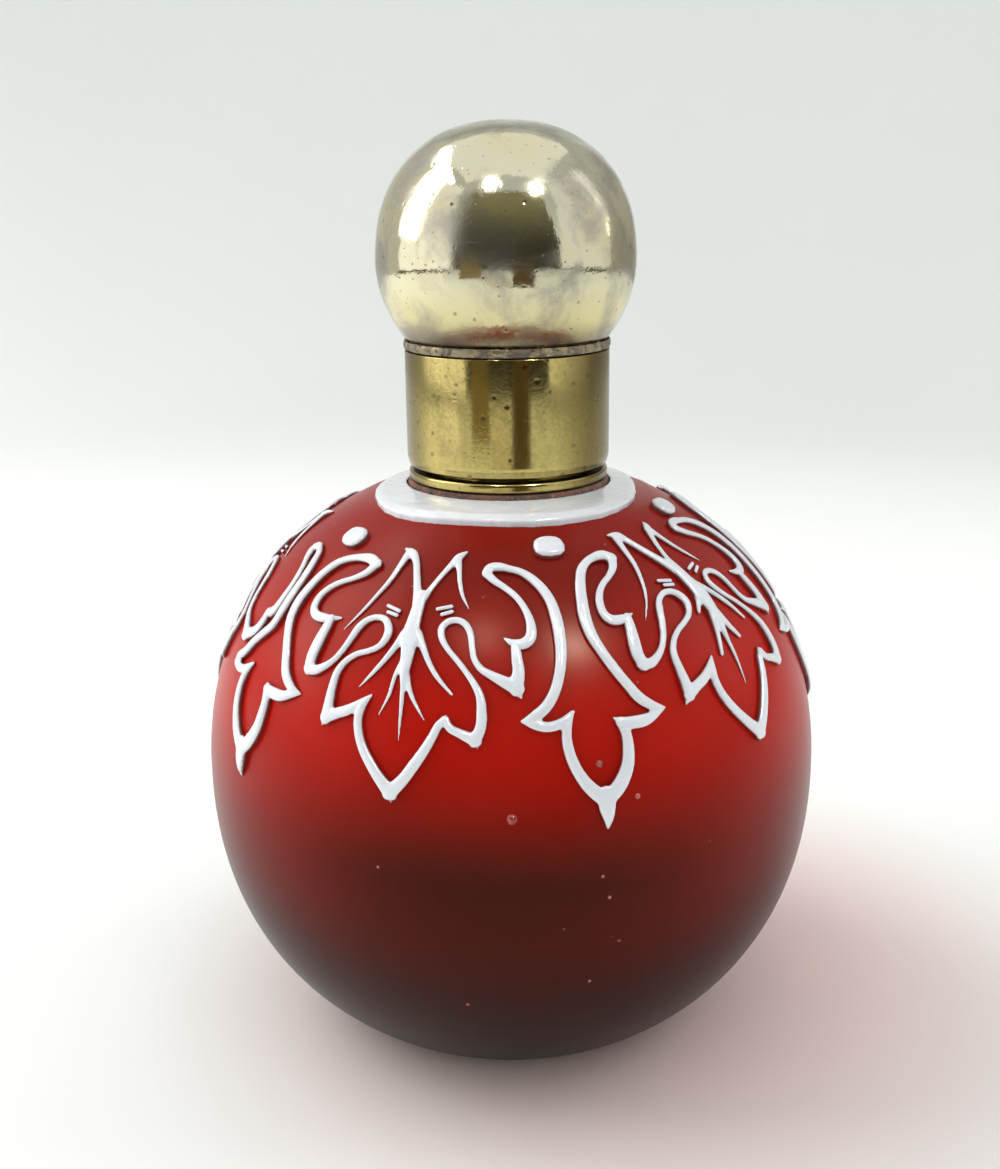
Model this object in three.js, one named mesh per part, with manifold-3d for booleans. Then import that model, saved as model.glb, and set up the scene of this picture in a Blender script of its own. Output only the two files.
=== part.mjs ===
// A globe scent bottle in ruby glass with a raised white glass border,
// a cemented brass ferrule, a ground stopper and a ball-topped screw cap.
// Millimetres, +Z up. The origin is the centre of the flat base.
// Azimuth 0 faces -Y and grows towards +X. Elevation is the angle above
// the globe's equator, seen from the globe's centre.

import * as THREE from 'three';
import { ConvexGeometry } from 'three/addons/geometries/ConvexGeometry.js';
import { mergeVertices } from 'three/addons/utils/BufferGeometryUtils.js';
import Module from 'manifold-3d';

const wasm = await Module();
wasm.setup();

// Glass globe
const GLOBE_RADIUS = 32;
const GLOBE_CENTRE_HEIGHT = 27.5;
const CROWN_SEMI_AXIS = 31.2;
const CROWN_POWER = 2.13;
const FOOT_SEMI_AXIS = 31.5;
const FOOT_POWER = 2.2;
const SHOULDER_RADIUS = 14.5;
const GLASS_WALL = 3.6;
const GLASS_FLOOR = 5;
const HOLLOW_FLOOR_ANGLE = 80;
const BASE_EDGE_ROUND = 0.8;

// Glass neck, inside the ferrule. Its radius follows from the cap's.
const NECK_HEIGHT = 9.2;
const NECK_ROOT_RISE = 0.9;
const NECK_LIP_ROUND = 0.5;
const BORE_TOP_RADIUS = 4.3;
const BORE_FOOT_RADIUS = 4;

// Raised white glass
const RELIEF_GAP = 0.15;
const RELIEF_DEPTH = 0.55;
const RELIEF_EDGE = 0.12;
const DISC_RADIUS = 13.1;
const DISC_BEND_SHARE = 0.8;
const DISC_FRONT_REACH = 2.2;
const DISC_FRONT_AZIMUTH = -7;
const DISC_FRONT_HALF_ANGLE = 38;
const DISC_SIDE_ANGLE = 95;
const DISC_WAVE = 0.1;
const DISC_WAVE_COUNT = 7;

// Brass ferrule on its bed of cement
const FERRULE_CLEARANCE = 0.3;
const FERRULE_WALL = 0.6;
const FERRULE_ABOVE_LIP = 0.4;
const FLANGE_SETBACK = 0.15;
const FLANGE_THICKNESS = 0.95;
const FLANGE_ROUND = 0.3;
const CEMENT_THICKNESS = 0.55;
const CEMENT_OVERHANG = 0.2;

// Thread: two starts, on the ferrule and in the ring inside the cap
const THREAD_STARTS = 2;
const THREAD_LEAD = 3.2;
const THREAD_TURNS = 1.1;
const THREAD_DEPTH = 0.5;
const THREAD_CLEARANCE = 0.2;
const THREAD_RING_WALL = 0.65;
const THREAD_CREST_WIDTH = 0.4;
const THREAD_ROOT_WIDTH = 0.7;
const THREAD_ABOVE_FLANGE = 2.2;

// Ground glass stopper
const STOPPER_CLEARANCE = 0.2;
const STOPPER_PLUG_LENGTH = 5.6;
const STOPPER_HEAD_OVERHANG = 1.4;
const STOPPER_HEAD_HEIGHT = 3.6;

// Screw cap
const CAP_GAP = 0.5;
const SLEEVE_RADIUS = 10.3;
const SLEEVE_LENGTH = 11.4;
const SLEEVE_WALL = 0.5;
const SLEEVE_FOOT_TUCK = 0.2;
const THREAD_RING_ABOVE_FOOT = 0.8;
const BALL_RADIUS = 12.93;
const BALL_CROWN_SEMI_AXIS = 13.15;
const BALL_CROWN_POWER = 2.23;
const BALL_FOOT_SEMI_AXIS = 12.57;
const BALL_FOOT_POWER = 1.93;
const BALL_OPENING_INSET = 0.3;
const BALL_WALL = 0.6;
const SEAM_HEIGHT = 0.65;
const SEAM_PROUD = 0.12;
const SEAM_FILLET = 0.2;
const WASHER_THICKNESS = 1.8;
const WASHER_HOLE_CLEARANCE = 0.8;

// Gaps between pieces that rest on or sit in one another
const SEAT_GAP = 0.3;
const COAXIAL_GAP = 0.15;

// Facets
const GLOBE_SEGMENTS = 40;
const TURNED_SEGMENTS = 32;
const THREAD_STEPS_PER_TURN = 24;
const STROKE_MAX_STEP = 4.4;
const STROKE_TURN_STEP = 0.6;
const STROKE_FINE_STEPS = 10;
const MITRE_LIMIT = 1.9;
const BLUNT_WIDTH = 0.75;
const TONGUE_LENGTH = 0.15;
const TONGUE_SHARE = 0.5;
const SHORT_EDGE = 0.06;
const DOT_SIDES = 12;

// The border: each stroke is a list of runs of [azimuth, elevation, width],
// in degrees from the motif's own azimuth and millimetres. Runs meet in a
// sharp corner. The strokes are hand-drawn outlines of a leaf and a bud.
const STEM_STROKES = [
  // stem and centre vein
  [[[-1, 46.2, 0.95], [-0.9, 44, 1.05], [-0.8, 41.5, 1.2], [-0.6, 39, 1.5], [-0.3, 36.5, 1.2],
    [-0.2, 34, 0.95], [0, 31, 0.5], [0.25, 28, 0.38], [0.5, 22.8, 0.15]]],
  // left sepal
  [[[-1.3, 44.5, 0.9], [-2.6, 47, 0.75], [-4.6, 50, 0.65], [-6.6, 52.6, 0.65], [-8.8, 54.3, 0.8],
    [-11.9, 55.4, 0.35]]],
  [[[-10, 54.5, 0.75], [-10.6, 51.5, 0.55], [-11.2, 48.5, 0.48], [-12.6, 45.6, 0.4],
    [-14.3, 42.6, 0.32], [-17, 39, 0.15]]],
  // right sepal
  [[[-0.5, 45.4, 0.7], [0.6, 48, 0.5], [2.3, 50.8, 0.48], [4, 52.9, 0.6], [5.2, 54.2, 0.75],
    [7, 55.8, 0.25]]],
  [[[5.1, 53.9, 0.7], [6.2, 51.8, 0.5], [7.2, 49.4, 0.42], [8.6, 47, 0.35], [10.6, 44.8, 0.15]]],
];

const LEAF_STROKES = [
  // left half of the outline, from the curl of the bud before it
  [[[-21.2, 38.6, 0.95], [-21.6, 36, 1.1], [-22, 33.4, 1.1], [-21.9, 31.2, 1]],
    [[-20.2, 31.2, 0.9], [-18.5, 32, 0.75], [-16.5, 33.5, 0.6], [-15, 35.5, 0.6], [-14, 37.7, 0.65],
      [-13.2, 39.6, 0.7], [-12, 41, 0.6], [-9.8, 41.7, 0.58], [-7.6, 41.3, 0.65],
      [-6.2, 39.9, 0.75], [-6, 38.6, 0.75], [-7, 37, 0.6], [-9, 36, 0.55], [-11.5, 35.2, 0.55],
      [-13.5, 33.8, 0.6], [-14.7, 31.8, 0.7], [-15, 29, 0.8], [-14.9, 26.5, 0.95],
      [-14.7, 24.4, 1.1]],
    [[-12.5, 25.3, 0.95], [-10, 26.3, 0.9], [-6.3, 29, 0.3]]],
  // main tip and the right half, to the curl of the bud after it
  [[[-6.5, 28.8, 0.35], [-7.6, 27.1, 0.75], [-7.9, 25.3, 0.8], [-7.2, 22.8, 0.8],
    [-5.8, 20.5, 0.85], [-3.8, 18.2, 0.9], [-2, 16.7, 1], [0, 15.3, 1.15]],
  [[2, 17.1, 1], [3.7, 19.2, 0.95], [5.4, 21.8, 0.85], [6.6, 24, 0.75], [7.4, 25.6, 0.7],
    [8.4, 26.4, 0.7]],
  [[9.5, 25.2, 0.7], [11, 24.6, 0.75], [13.7, 23.6, 1]],
  [[14.6, 25.6, 0.9], [14.7, 28, 0.85], [14.4, 30.3, 0.72], [13.3, 32.3, 0.6], [11.7, 34.1, 0.52],
    [9.7, 35.9, 0.5], [7.4, 37.7, 0.52], [5.9, 39.4, 0.6], [5.5, 40.9, 0.62], [6.6, 42.1, 0.6],
    [8.5, 42.5, 0.6], [10.5, 41.9, 0.6], [11.8, 40.4, 0.58], [12.4, 38.4, 0.55],
    [13, 36.5, 0.55], [14.4, 34.9, 0.6], [16.5, 33.9, 0.75], [18.5, 33, 0.95], [20.9, 31.9, 1.2]],
  [[21.5, 34.5, 1], [21.2, 36.8, 0.9]]],
];

const FORKED_VEINS = [
  [[[-2, 39.3, 0.9], [-3.4, 37.2, 0.62], [-5, 35, 0.5], [-6.8, 32.8, 0.4], [-9.4, 30, 0.15]]],
  [[[0.8, 39.5, 0.9], [2.6, 37.4, 0.62], [4.2, 35.2, 0.5], [6, 33.2, 0.45], [9.2, 30.5, 0.25]]],
  [[[-1, 35.5, 0.5], [-2.1, 32.5, 0.4], [-2.6, 29.5, 0.33], [-4.1, 26.2, 0.15]]],
  [[[0, 34.2, 0.55], [0.8, 31.8, 0.5], [1.8, 29.9, 0.42], [4.7, 26.2, 0.15]]],
];

const OPEN_VEINS = [
  [[[-1.2, 40.5, 0.8], [-2.4, 38.4, 0.6], [-3.9, 36.7, 0.42]]],
  [[[0.2, 41.5, 0.8], [3.4, 39.2, 0.55], [6.4, 36.2, 0.48], [9.6, 32.6, 0.3]]],
  [[[-0.6, 36, 0.9], [-1.9, 32.5, 0.55], [-3.3, 28.9, 0.42]]],
  [[[0.2, 36, 0.9], [2.1, 33, 0.62], [4.2, 30.4, 0.4]]],
];

const BUD_STROKES = [
  // left curl, from its barb to its end, then over the top and down to the left hook
  [[[-16.1, 39.1, 0.25], [-14.6, 38.3, 0.65], [-12.6, 38, 0.95], [-11, 39, 0.95], [-10.7, 41.2, 0.8],
    [-11.6, 43.8, 0.62], [-13.4, 46.1, 0.6], [-16, 47.9, 0.6], [-18.6, 49.2, 0.68],
    [-20.7, 50.6, 0.8]]],
  [[[-20.8, 50.8, 0.8], [-20, 51.7, 0.85], [-18, 52, 0.85], [-15, 51.6, 0.7], [-12, 50.9, 0.7],
    [-9.4, 49.4, 0.8], [-7.3, 47.4, 0.85], [-5.9, 45, 0.9], [-5.3, 42.2, 0.98], [-5.1, 39.5, 1],
    [-5.3, 36.3, 0.95], [-6, 33.2, 0.9], [-7.3, 30.2, 0.9], [-9, 28, 0.95], [-10.8, 26.8, 0.9],
    [-13.2, 26, 0.25]]],
  [[[-13.2, 26, 0.25], [-11, 25.4, 0.8], [-8.7, 25, 0.85], [-6.5, 25.5, 0.8], [-4.4, 27, 0.4]]],
  // lower point, between the two hooks
  [[[-4.6, 26.8, 0.45], [-5.5, 25, 0.75], [-5.8, 23, 0.85], [-5.3, 20.2, 0.9], [-4.1, 17.5, 0.95],
    [-2.4, 15.2, 1.1], [0, 13.2, 1.3]],
  [[2.3, 15.2, 1.25], [4, 18, 1.1], [4.5, 20.5, 1], [4.5, 22.8, 0.9], [4, 24.6, 0.9]],
  [[6, 24.4, 1.05], [8.5, 24.5, 1], [12.8, 25.8, 0.25]]],
  [[[0, 13.7, 1.5], [0.1, 11.9, 1.35], [0.2, 10.3, 0.9], [0.2, 8.7, 0.3]]],
  // right hook, up and over to the end of the right curl, then back to its barb
  [[[12.8, 25.8, 0.25], [10.4, 26.4, 0.8], [8, 28, 0.95], [6.5, 30, 0.9], [4.45, 33, 0.9],
    [2.7, 36, 0.9], [1.3, 39, 1], [0.85, 42, 1.05], [1.2, 45, 0.98], [2, 48, 0.9],
    [3.4, 50.5, 0.85], [5.5, 52, 0.75], [8, 52.8, 0.8], [11, 53, 1], [13.2, 52.3, 0.9]]],
  [[[13.2, 52.2, 0.9], [12.2, 50.4, 0.75], [10, 48.8, 0.6], [7.8, 47.6, 0.6], [6, 46, 0.65],
    [5.1, 44, 0.75], [5.3, 42, 0.8], [6.6, 40.9, 0.9], [9, 40.8, 0.85], [11.9, 41.6, 0.25]]],
];

// Where a leaf's outline meets the curls of the buds on either side of it,
// in degrees from the bud's azimuth, and the leaf's own ends
const CURL_SEAT = { right: [10.2, 39.9], left: [-14, 36.3] };
const LEAF_END = { left: [-21.2, 39.1], right: [21.1, 37.3] };
const LEAF_BLEND_START = 5;
const LEAF_BLEND_FOOT = 26;
const LEAF_BLEND_TOP = 37;
const CURL_REACH_FOOT = 30;
const CURL_REACH_TOP = 38;

// Each motif was drawn by hand, so its azimuth, its lift in degrees and the
// reach of its curls wander a little round the globe. A lean is how far its
// top is turned to one side.
const BUDS = [
  { azimuth: -54.1, lift: 0.3, topLift: -2.1, leftReach: 0.52, rightReach: 1.34 },
  { azimuth: 15, lift: 0, topLift: 0, leftReach: 1, rightReach: 1 },
  { azimuth: 85, lift: 3, topLift: 0.9, leftReach: 1.22, rightReach: 1.1 },
  { azimuth: 157, lift: 1.5, topLift: 0, leftReach: 1.05, rightReach: 1.2 },
  { azimuth: 230, lift: 0.5, topLift: 0, leftReach: 1, rightReach: 1.25 },
];
const LEAVES = [
  { azimuth: -19.7, lift: -0.5, lean: 0.6, leftReach: 0.94, veins: FORKED_VEINS },
  { azimuth: 48, lift: 2.6, lean: -5, leftReach: 1, veins: OPEN_VEINS },
  { azimuth: 121.5, lift: 2, lean: -1, leftReach: 1, veins: FORKED_VEINS },
  { azimuth: 193.5, lift: 1, lean: 1, leftReach: 0.98, veins: OPEN_VEINS },
  { azimuth: 267, lift: 0, lean: 0, leftReach: 0.96, veins: FORKED_VEINS },
];
const LEAN_FOOT = 36;
const LEAN_TOP = 56;

// Each dot's azimuth and elevation
const DOTS = [[-51.9, 54.6], [11.6, 56], [69.3, 59.3], [148, 57.5], [219, 56.5]];
const DOT_HALF_WIDTH = 1.45;
const DOT_HALF_HEIGHT = 1.25;
const DOT_POWER = 2.5;

const DEGREE = Math.PI / 180;
const TURN = 360;

const ruby = new THREE.MeshStandardMaterial({ color: 0x8e1712, roughness: 0.28, metalness: 0 });
const white = new THREE.MeshStandardMaterial({ color: 0xe9e8ee, roughness: 0.22, metalness: 0 });
const brass = new THREE.MeshStandardMaterial({ color: 0xa58a55, roughness: 0.34, metalness: 1 });
const plate = new THREE.MeshStandardMaterial({ color: 0xcfc3ab, roughness: 0.2, metalness: 1 });
const solder = new THREE.MeshStandardMaterial({ color: 0x8d8b84, roughness: 0.5, metalness: 1 });
const plaster = new THREE.MeshStandardMaterial({ color: 0x8b5546, roughness: 0.9, metalness: 0 });
const cork = new THREE.MeshStandardMaterial({ color: 0xb08a5c, roughness: 0.9, metalness: 0 });
const clear = new THREE.MeshStandardMaterial({ color: 0xd9dedb, roughness: 0.15, metalness: 0 });

const scentBottle = new THREE.Group();

function addPiece(name, geometry, material) {
  const mesh = new THREE.Mesh(geometry, material);
  mesh.name = name;
  scentBottle.add(mesh);
}

// Welds a geometry, drops triangles without area and turns its faces outwards.
function solid(geometry) {
  const bare = geometry.clone();
  bare.deleteAttribute('normal');
  bare.deleteAttribute('uv');
  const welded = mergeVertices(bare, 1e-4);
  const position = welded.getAttribute('position');
  const index = [];
  let volume = 0;
  for (let i = 0; i < welded.index.count; i += 3) {
    const corners = [0, 1, 2].map((k) => welded.index.getX(i + k));
    if (new Set(corners).size === 3) {
      const [a, b, c] = corners.map((k) => new THREE.Vector3().fromBufferAttribute(position, k));
      volume += a.dot(b.cross(c));
      index.push(...corners);
    }
  }
  if (volume < 0) {
    index.reverse();
  }
  const result = new THREE.BufferGeometry();
  result.setAttribute('position', position);
  result.setIndex(index);
  return result;
}

const smooth = (value, from, to) => THREE.MathUtils.smoothstep(value, from, to);

function toManifold(geometry) {
  return new wasm.Manifold(new wasm.Mesh({
    numProp: 3,
    vertProperties: new Float32Array(geometry.getAttribute('position').array),
    triVerts: new Uint32Array(geometry.index.array),
  }));
}

function fromManifold(manifold) {
  const mesh = manifold.getMesh();
  const geometry = new THREE.BufferGeometry();
  geometry.setAttribute('position', new THREE.BufferAttribute(mesh.vertProperties, 3));
  geometry.setIndex(new THREE.BufferAttribute(mesh.triVerts, 1));
  return geometry;
}

function joined(geometries) {
  return fromManifold(geometries.map(toManifold).reduce((whole, part) => whole.add(part)));
}

// A profile of [radius, height] points, from axis to axis, turned round Z.
function turned(profile, segments = TURNED_SEGMENTS) {
  const points = profile.map(([radius, height]) => new THREE.Vector2(radius, height));
  return solid(new THREE.LatheGeometry(points, segments).rotateX(Math.PI / 2));
}

// The same for a ring, whose profile closes on itself.
function turnedRing(profile, segments = TURNED_SEGMENTS) {
  return turned([...profile, profile[0]], segments);
}

// Points of a superellipse quarter between two angles, in degrees: 0 is the
// widest place and 90 the axis.
function superellipseArc(radius, semiAxis, power, start, end, steps) {
  return Array.from({ length: steps + 1 }, (_, i) => {
    const angle = (start + ((end - start) * i) / steps) * DEGREE;
    return [
      Math.abs(Math.cos(angle)) ** (2 / power) * radius,
      Math.abs(Math.sin(angle)) ** (2 / power) * semiAxis,
    ];
  });
}

const superellipseHeight = (across, radius, semiAxis, power) => (
  semiAxis * (1 - (across / radius) ** power) ** (1 / power)
);
const angleAtRadius = (across, radius, power) => (
  Math.acos((across / radius) ** (power / 2)) / DEGREE
);
const angleAtHeight = (height, semiAxis, power) => (
  Math.asin((height / semiAxis) ** (power / 2)) / DEGREE
);

// Radii, from the cap's sleeve inwards
const sleeveBore = SLEEVE_RADIUS - SLEEVE_WALL;
const ringRadius = sleeveBore - COAXIAL_GAP;
const ringBore = ringRadius - THREAD_RING_WALL;
const ferruleRadius = ringBore - THREAD_CLEARANCE - THREAD_DEPTH;
const ferruleBore = ferruleRadius - FERRULE_WALL;
const neckRadius = ferruleBore - FERRULE_CLEARANCE;
const flangeRadius = SLEEVE_RADIUS - FLANGE_SETBACK;
const cementRadius = flangeRadius + CEMENT_OVERHANG;
const ballOpeningRadius = SLEEVE_RADIUS - BALL_OPENING_INSET;
const stopperHeadRadius = BORE_TOP_RADIUS + STOPPER_HEAD_OVERHANG;

// Heights, from the shoulder up
const shoulderTop = GLOBE_CENTRE_HEIGHT
  + superellipseHeight(SHOULDER_RADIUS, GLOBE_RADIUS, CROWN_SEMI_AXIS, CROWN_POWER);
const neckRoot = shoulderTop + NECK_ROOT_RISE;
const neckTop = neckRoot + NECK_HEIGHT;
const cementFoot = neckRoot + SEAT_GAP / 2;
const cementTop = cementFoot + CEMENT_THICKNESS;
const flangeFoot = cementTop + SEAT_GAP / 2;
const flangeTop = flangeFoot + FLANGE_THICKNESS;
const ferruleTop = neckTop + FERRULE_ABOVE_LIP;
const sleeveFoot = flangeTop + CAP_GAP;
const sleeveTop = sleeveFoot + SLEEVE_LENGTH;
const seamFoot = sleeveTop + COAXIAL_GAP;
const seamTop = seamFoot + SEAM_HEIGHT;
const ballEdge = seamTop + COAXIAL_GAP;
const ballEdgeDrop = superellipseHeight(
  ballOpeningRadius, BALL_RADIUS, BALL_FOOT_SEMI_AXIS, BALL_FOOT_POWER,
);
const ballCentre = ballEdge + ballEdgeDrop;

function makeGlassBody() {
  const baseAngle = angleAtHeight(GLOBE_CENTRE_HEIGHT, FOOT_SEMI_AXIS, FOOT_POWER);
  const shoulderAngle = angleAtRadius(SHOULDER_RADIUS, GLOBE_RADIUS, CROWN_POWER);
  const foot = superellipseArc(GLOBE_RADIUS, FOOT_SEMI_AXIS, FOOT_POWER, baseAngle, 0, 7);
  const baseRadius = foot[0][0];
  const crown = superellipseArc(GLOBE_RADIUS, CROWN_SEMI_AXIS, CROWN_POWER, 0, shoulderAngle, 7);
  const hollowRadius = GLOBE_RADIUS - GLASS_WALL;
  const hollowCrownAxis = CROWN_SEMI_AXIS - GLASS_WALL;
  const hollowFootAxis = GLOBE_CENTRE_HEIGHT - GLASS_FLOOR;
  const boreAngle = angleAtRadius(BORE_FOOT_RADIUS, hollowRadius, CROWN_POWER);
  const hollowCrown = superellipseArc(hollowRadius, hollowCrownAxis, CROWN_POWER, boreAngle, 0, 5);
  const hollowFoot = superellipseArc(
    hollowRadius, hollowFootAxis, FOOT_POWER, 0, HOLLOW_FLOOR_ANGLE, 4,
  );
  return turned([
    [0, 0],
    [baseRadius - BASE_EDGE_ROUND, 0],
    [baseRadius - BASE_EDGE_ROUND * 0.2, BASE_EDGE_ROUND * 0.3],
    [baseRadius + BASE_EDGE_ROUND * 0.4, BASE_EDGE_ROUND],
    ...foot.slice(1).map(([r, h]) => [r, GLOBE_CENTRE_HEIGHT - h]),
    ...crown.slice(1).map(([r, h]) => [r, GLOBE_CENTRE_HEIGHT + h]),
    [neckRadius, neckRoot],
    [neckRadius, neckTop - NECK_LIP_ROUND],
    [neckRadius - NECK_LIP_ROUND, neckTop],
    [BORE_TOP_RADIUS + NECK_LIP_ROUND, neckTop],
    [BORE_TOP_RADIUS, neckTop - NECK_LIP_ROUND],
    ...hollowCrown.map(([r, h]) => [r, GLOBE_CENTRE_HEIGHT + h]),
    ...hollowFoot.slice(1).map(([r, h]) => [r, GLOBE_CENTRE_HEIGHT - h]),
    [0, GLASS_FLOOR],
  ], GLOBE_SEGMENTS);
}

// The glass between the shoulder and the neck is a shallow cone.
function coneHeight(radius) {
  const slope = NECK_ROOT_RISE / (SHOULDER_RADIUS - neckRadius);
  return shoulderTop + (SHOULDER_RADIUS - radius) * slope;
}

// The height of the glass outside the neck, on the cone or on the globe.
function glassHeight(radius) {
  return radius < SHOULDER_RADIUS
    ? coneHeight(radius)
    : GLOBE_CENTRE_HEIGHT
      + superellipseHeight(radius, GLOBE_RADIUS, CROWN_SEMI_AXIS, CROWN_POWER);
}

// The white disc round the neck. Its rim was cut by hand, wider at the front.
function makeNeckDisc() {
  const hole = cementRadius + SEAT_GAP / 2;
  const span = DISC_RADIUS - hole;
  const bend = hole + span * DISC_BEND_SHARE;
  const disc = turnedRing([
    [hole, 0],
    [bend, 0],
    [DISC_RADIUS, 0],
    [DISC_RADIUS - RELIEF_EDGE, RELIEF_DEPTH * 0.8],
    [bend, RELIEF_DEPTH],
    [hole, RELIEF_DEPTH],
  ], GLOBE_SEGMENTS);
  const position = disc.getAttribute('position');
  for (let i = 0; i < position.count; i += 1) {
    const [x, y, height] = [position.getX(i), position.getY(i), position.getZ(i)];
    const radius = Math.hypot(x, y);
    const azimuth = Math.atan2(x, -y) / DEGREE;
    const off = Math.abs(azimuth - DISC_FRONT_AZIMUTH);
    const side = smooth(Math.min(off, TURN - off), DISC_FRONT_HALF_ANGLE, DISC_SIDE_ANGLE);
    const wave = DISC_WAVE * Math.sin(azimuth * DISC_WAVE_COUNT * DEGREE);
    const rim = DISC_RADIUS + DISC_FRONT_REACH * (1 - side) + wave;
    const moved = hole + ((radius - hole) * (rim - hole)) / span;
    const level = glassHeight(moved) + RELIEF_GAP + height;
    position.setXYZ(i, (x * moved) / radius, (y * moved) / radius, level);
  }
  return disc;
}

function globeRadiusAt(elevation) {
  const angle = elevation * DEGREE;
  const [axis, power] = elevation > 0
    ? [CROWN_SEMI_AXIS, CROWN_POWER] : [FOOT_SEMI_AXIS, FOOT_POWER];
  const across = (Math.abs(Math.cos(angle)) / GLOBE_RADIUS) ** power;
  const along = (Math.abs(Math.sin(angle)) / axis) ** power;
  return (across + along) ** (-1 / power);
}

// A point over the globe's surface.
function onGlobe(azimuth, elevation, height) {
  const reach = globeRadiusAt(elevation) + height;
  const level = reach * Math.cos(elevation * DEGREE);
  return [
    level * Math.sin(azimuth * DEGREE),
    -level * Math.cos(azimuth * DEGREE),
    GLOBE_CENTRE_HEIGHT + reach * Math.sin(elevation * DEGREE),
  ];
}

// Lengths of one degree of azimuth and of elevation on the globe.
function degreeLengths(elevation) {
  const reach = globeRadiusAt(elevation) * DEGREE;
  return [reach * Math.cos(elevation * DEGREE), reach];
}

// Samples a stroke: smooth along each run, closer together where it bends.
function sampleStroke(runs) {
  const samples = [];
  runs.forEach((run, r) => {
    const last = r > 0 ? [runs[r - 1][runs[r - 1].length - 1]] : [];
    const knots = [...last, ...run].map((knot) => new THREE.Vector3(...knot));
    const curve = new THREE.CatmullRomCurve3(knots, false, 'centripetal');
    const fine = curve.getPoints((knots.length - 1) * STROKE_FINE_STEPS);
    const [east, north] = degreeLengths(fine[0].y);
    const heading = (a, b) => Math.atan2((b.y - a.y) * north, (b.x - a.x) * east);
    if (r === 0) {
      samples.push({ point: fine[0] });
    }
    let since = 0;
    let turnedBy = 0;
    for (let i = 1; i < fine.length; i += 1) {
      since += Math.hypot((fine[i].x - fine[i - 1].x) * east, (fine[i].y - fine[i - 1].y) * north);
      const ends = i === fine.length - 1;
      if (!ends) {
        const bend = heading(fine[i], fine[i + 1]) - heading(fine[i - 1], fine[i]);
        turnedBy += Math.abs(Math.atan2(Math.sin(bend), Math.cos(bend)));
      }
      if (ends || since > STROKE_MAX_STEP || turnedBy > STROKE_TURN_STEP) {
        samples.push({ point: fine[i] });
        since = 0;
        turnedBy = 0;
      }
    }
  });
  return samples.map(({ point }) => point);
}

// Adds two narrower samples past each blunt end, which round it off.
function roundEnds(samples) {
  const cap = (end, inner) => {
    if (end.z < BLUNT_WIDTH) {
      return [];
    }
    const [east, north] = degreeLengths(end.y);
    const dx = (end.x - inner.x) * east;
    const dy = (end.y - inner.y) * north;
    const length = Math.hypot(dx, dy);
    return [[0.3, 0.8], [0.48, 0.4]].map(([reach, share]) => new THREE.Vector3(
      end.x + (dx / length) * end.z * reach / east,
      end.y + (dy / length) * end.z * reach / north,
      end.z * share,
    ));
  };
  const first = cap(samples[0], samples[1]).reverse();
  const last = cap(samples[samples.length - 1], samples[samples.length - 2]);
  return [...first, ...samples, ...last];
}

// The left and right edge of a stroke at each sample, as offsets in degrees.
function strokeSections(samples) {
  return samples.map((sample, i) => {
    const [east, north] = degreeLengths(sample.y);
    const normals = [];
    if (i > 0) {
      normals.push([samples[i - 1], sample]);
    }
    if (i < samples.length - 1) {
      normals.push([sample, samples[i + 1]]);
    }
    const units = normals.map(([a, b]) => (
      new THREE.Vector2((a.y - b.y) * north, (b.x - a.x) * east).normalize()
    ));
    const mitre = units.reduce((sum, unit) => sum.clone().add(unit)).normalize();
    const spread = Math.min(1 / Math.max(mitre.dot(units[0]), 0.01), MITRE_LIMIT);
    return { sample, across: mitre.multiplyScalar(spread), east, north };
  });
}

// One block of the relief between two sections, with a narrower tongue that
// reaches into the block after it. It is built flat: x is azimuth, y is
// elevation and z is the height over the glass.
function reliefBlock(from, to, hasNext) {
  const corners = ({ sample, across, east, north }, share) => {
    const corner = (half, height) => new THREE.Vector3(
      sample.x + (across.x * half) / east,
      sample.y + (across.y * half) / north,
      height,
    );
    const top = (sample.z / 2) * share;
    const foot = top + RELIEF_EDGE * share;
    return [corner(-foot, 0), corner(foot, 0), corner(top, 1), corner(-top, 1)];
  };
  const points = [...corners(from, 1), ...corners(to, 1)];
  if (hasNext) {
    const along = new THREE.Vector2(to.across.y, -to.across.x).normalize();
    const shift = new THREE.Vector3(along.x / to.east, along.y / to.north, 0)
      .multiplyScalar(TONGUE_LENGTH);
    points.push(...corners(to, TONGUE_SHARE).map((corner) => corner.add(shift)));
  }
  return solid(new ConvexGeometry(points));
}

function strokeBlocks(runs) {
  const sections = strokeSections(roundEnds(sampleStroke(runs)));
  return sections.slice(1).map((section, i) => (
    reliefBlock(sections[i], section, i + 2 < sections.length)
  ));
}

// Joins the ends of edges that are too short to keep, where the surface stays closed.
function withoutShortEdges(geometry) {
  const position = geometry.getAttribute('position');
  const points = Array.from({ length: position.count }, (_, i) => (
    new THREE.Vector3().fromBufferAttribute(position, i)
  ));
  let faces = Array.from({ length: geometry.index.count / 3 }, (_, i) => (
    [0, 1, 2].map((k) => geometry.index.getX(3 * i + k))
  ));
  const around = (vertex) => new Set(
    faces.filter((face) => face.includes(vertex)).flat().filter((other) => other !== vertex),
  );
  const canJoin = ([a, b]) => {
    const others = around(b);
    return [...around(a)].filter((vertex) => others.has(vertex)).length === 2;
  };
  const findShort = () => faces
    .flatMap(([a, b, c]) => [[a, b], [b, c], [c, a]])
    .find(([a, b]) => a < b && points[a].distanceTo(points[b]) < SHORT_EDGE && canJoin([a, b]));
  for (let edge = findShort(); edge; edge = findShort()) {
    const [kept, dropped] = edge;
    faces = faces
      .map((face) => face.map((vertex) => (vertex === dropped ? kept : vertex)))
      .filter((face) => new Set(face).size === 3);
  }
  const result = new THREE.BufferGeometry();
  result.setAttribute('position', position);
  result.setIndex(faces.flat());
  return solid(result);
}

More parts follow.
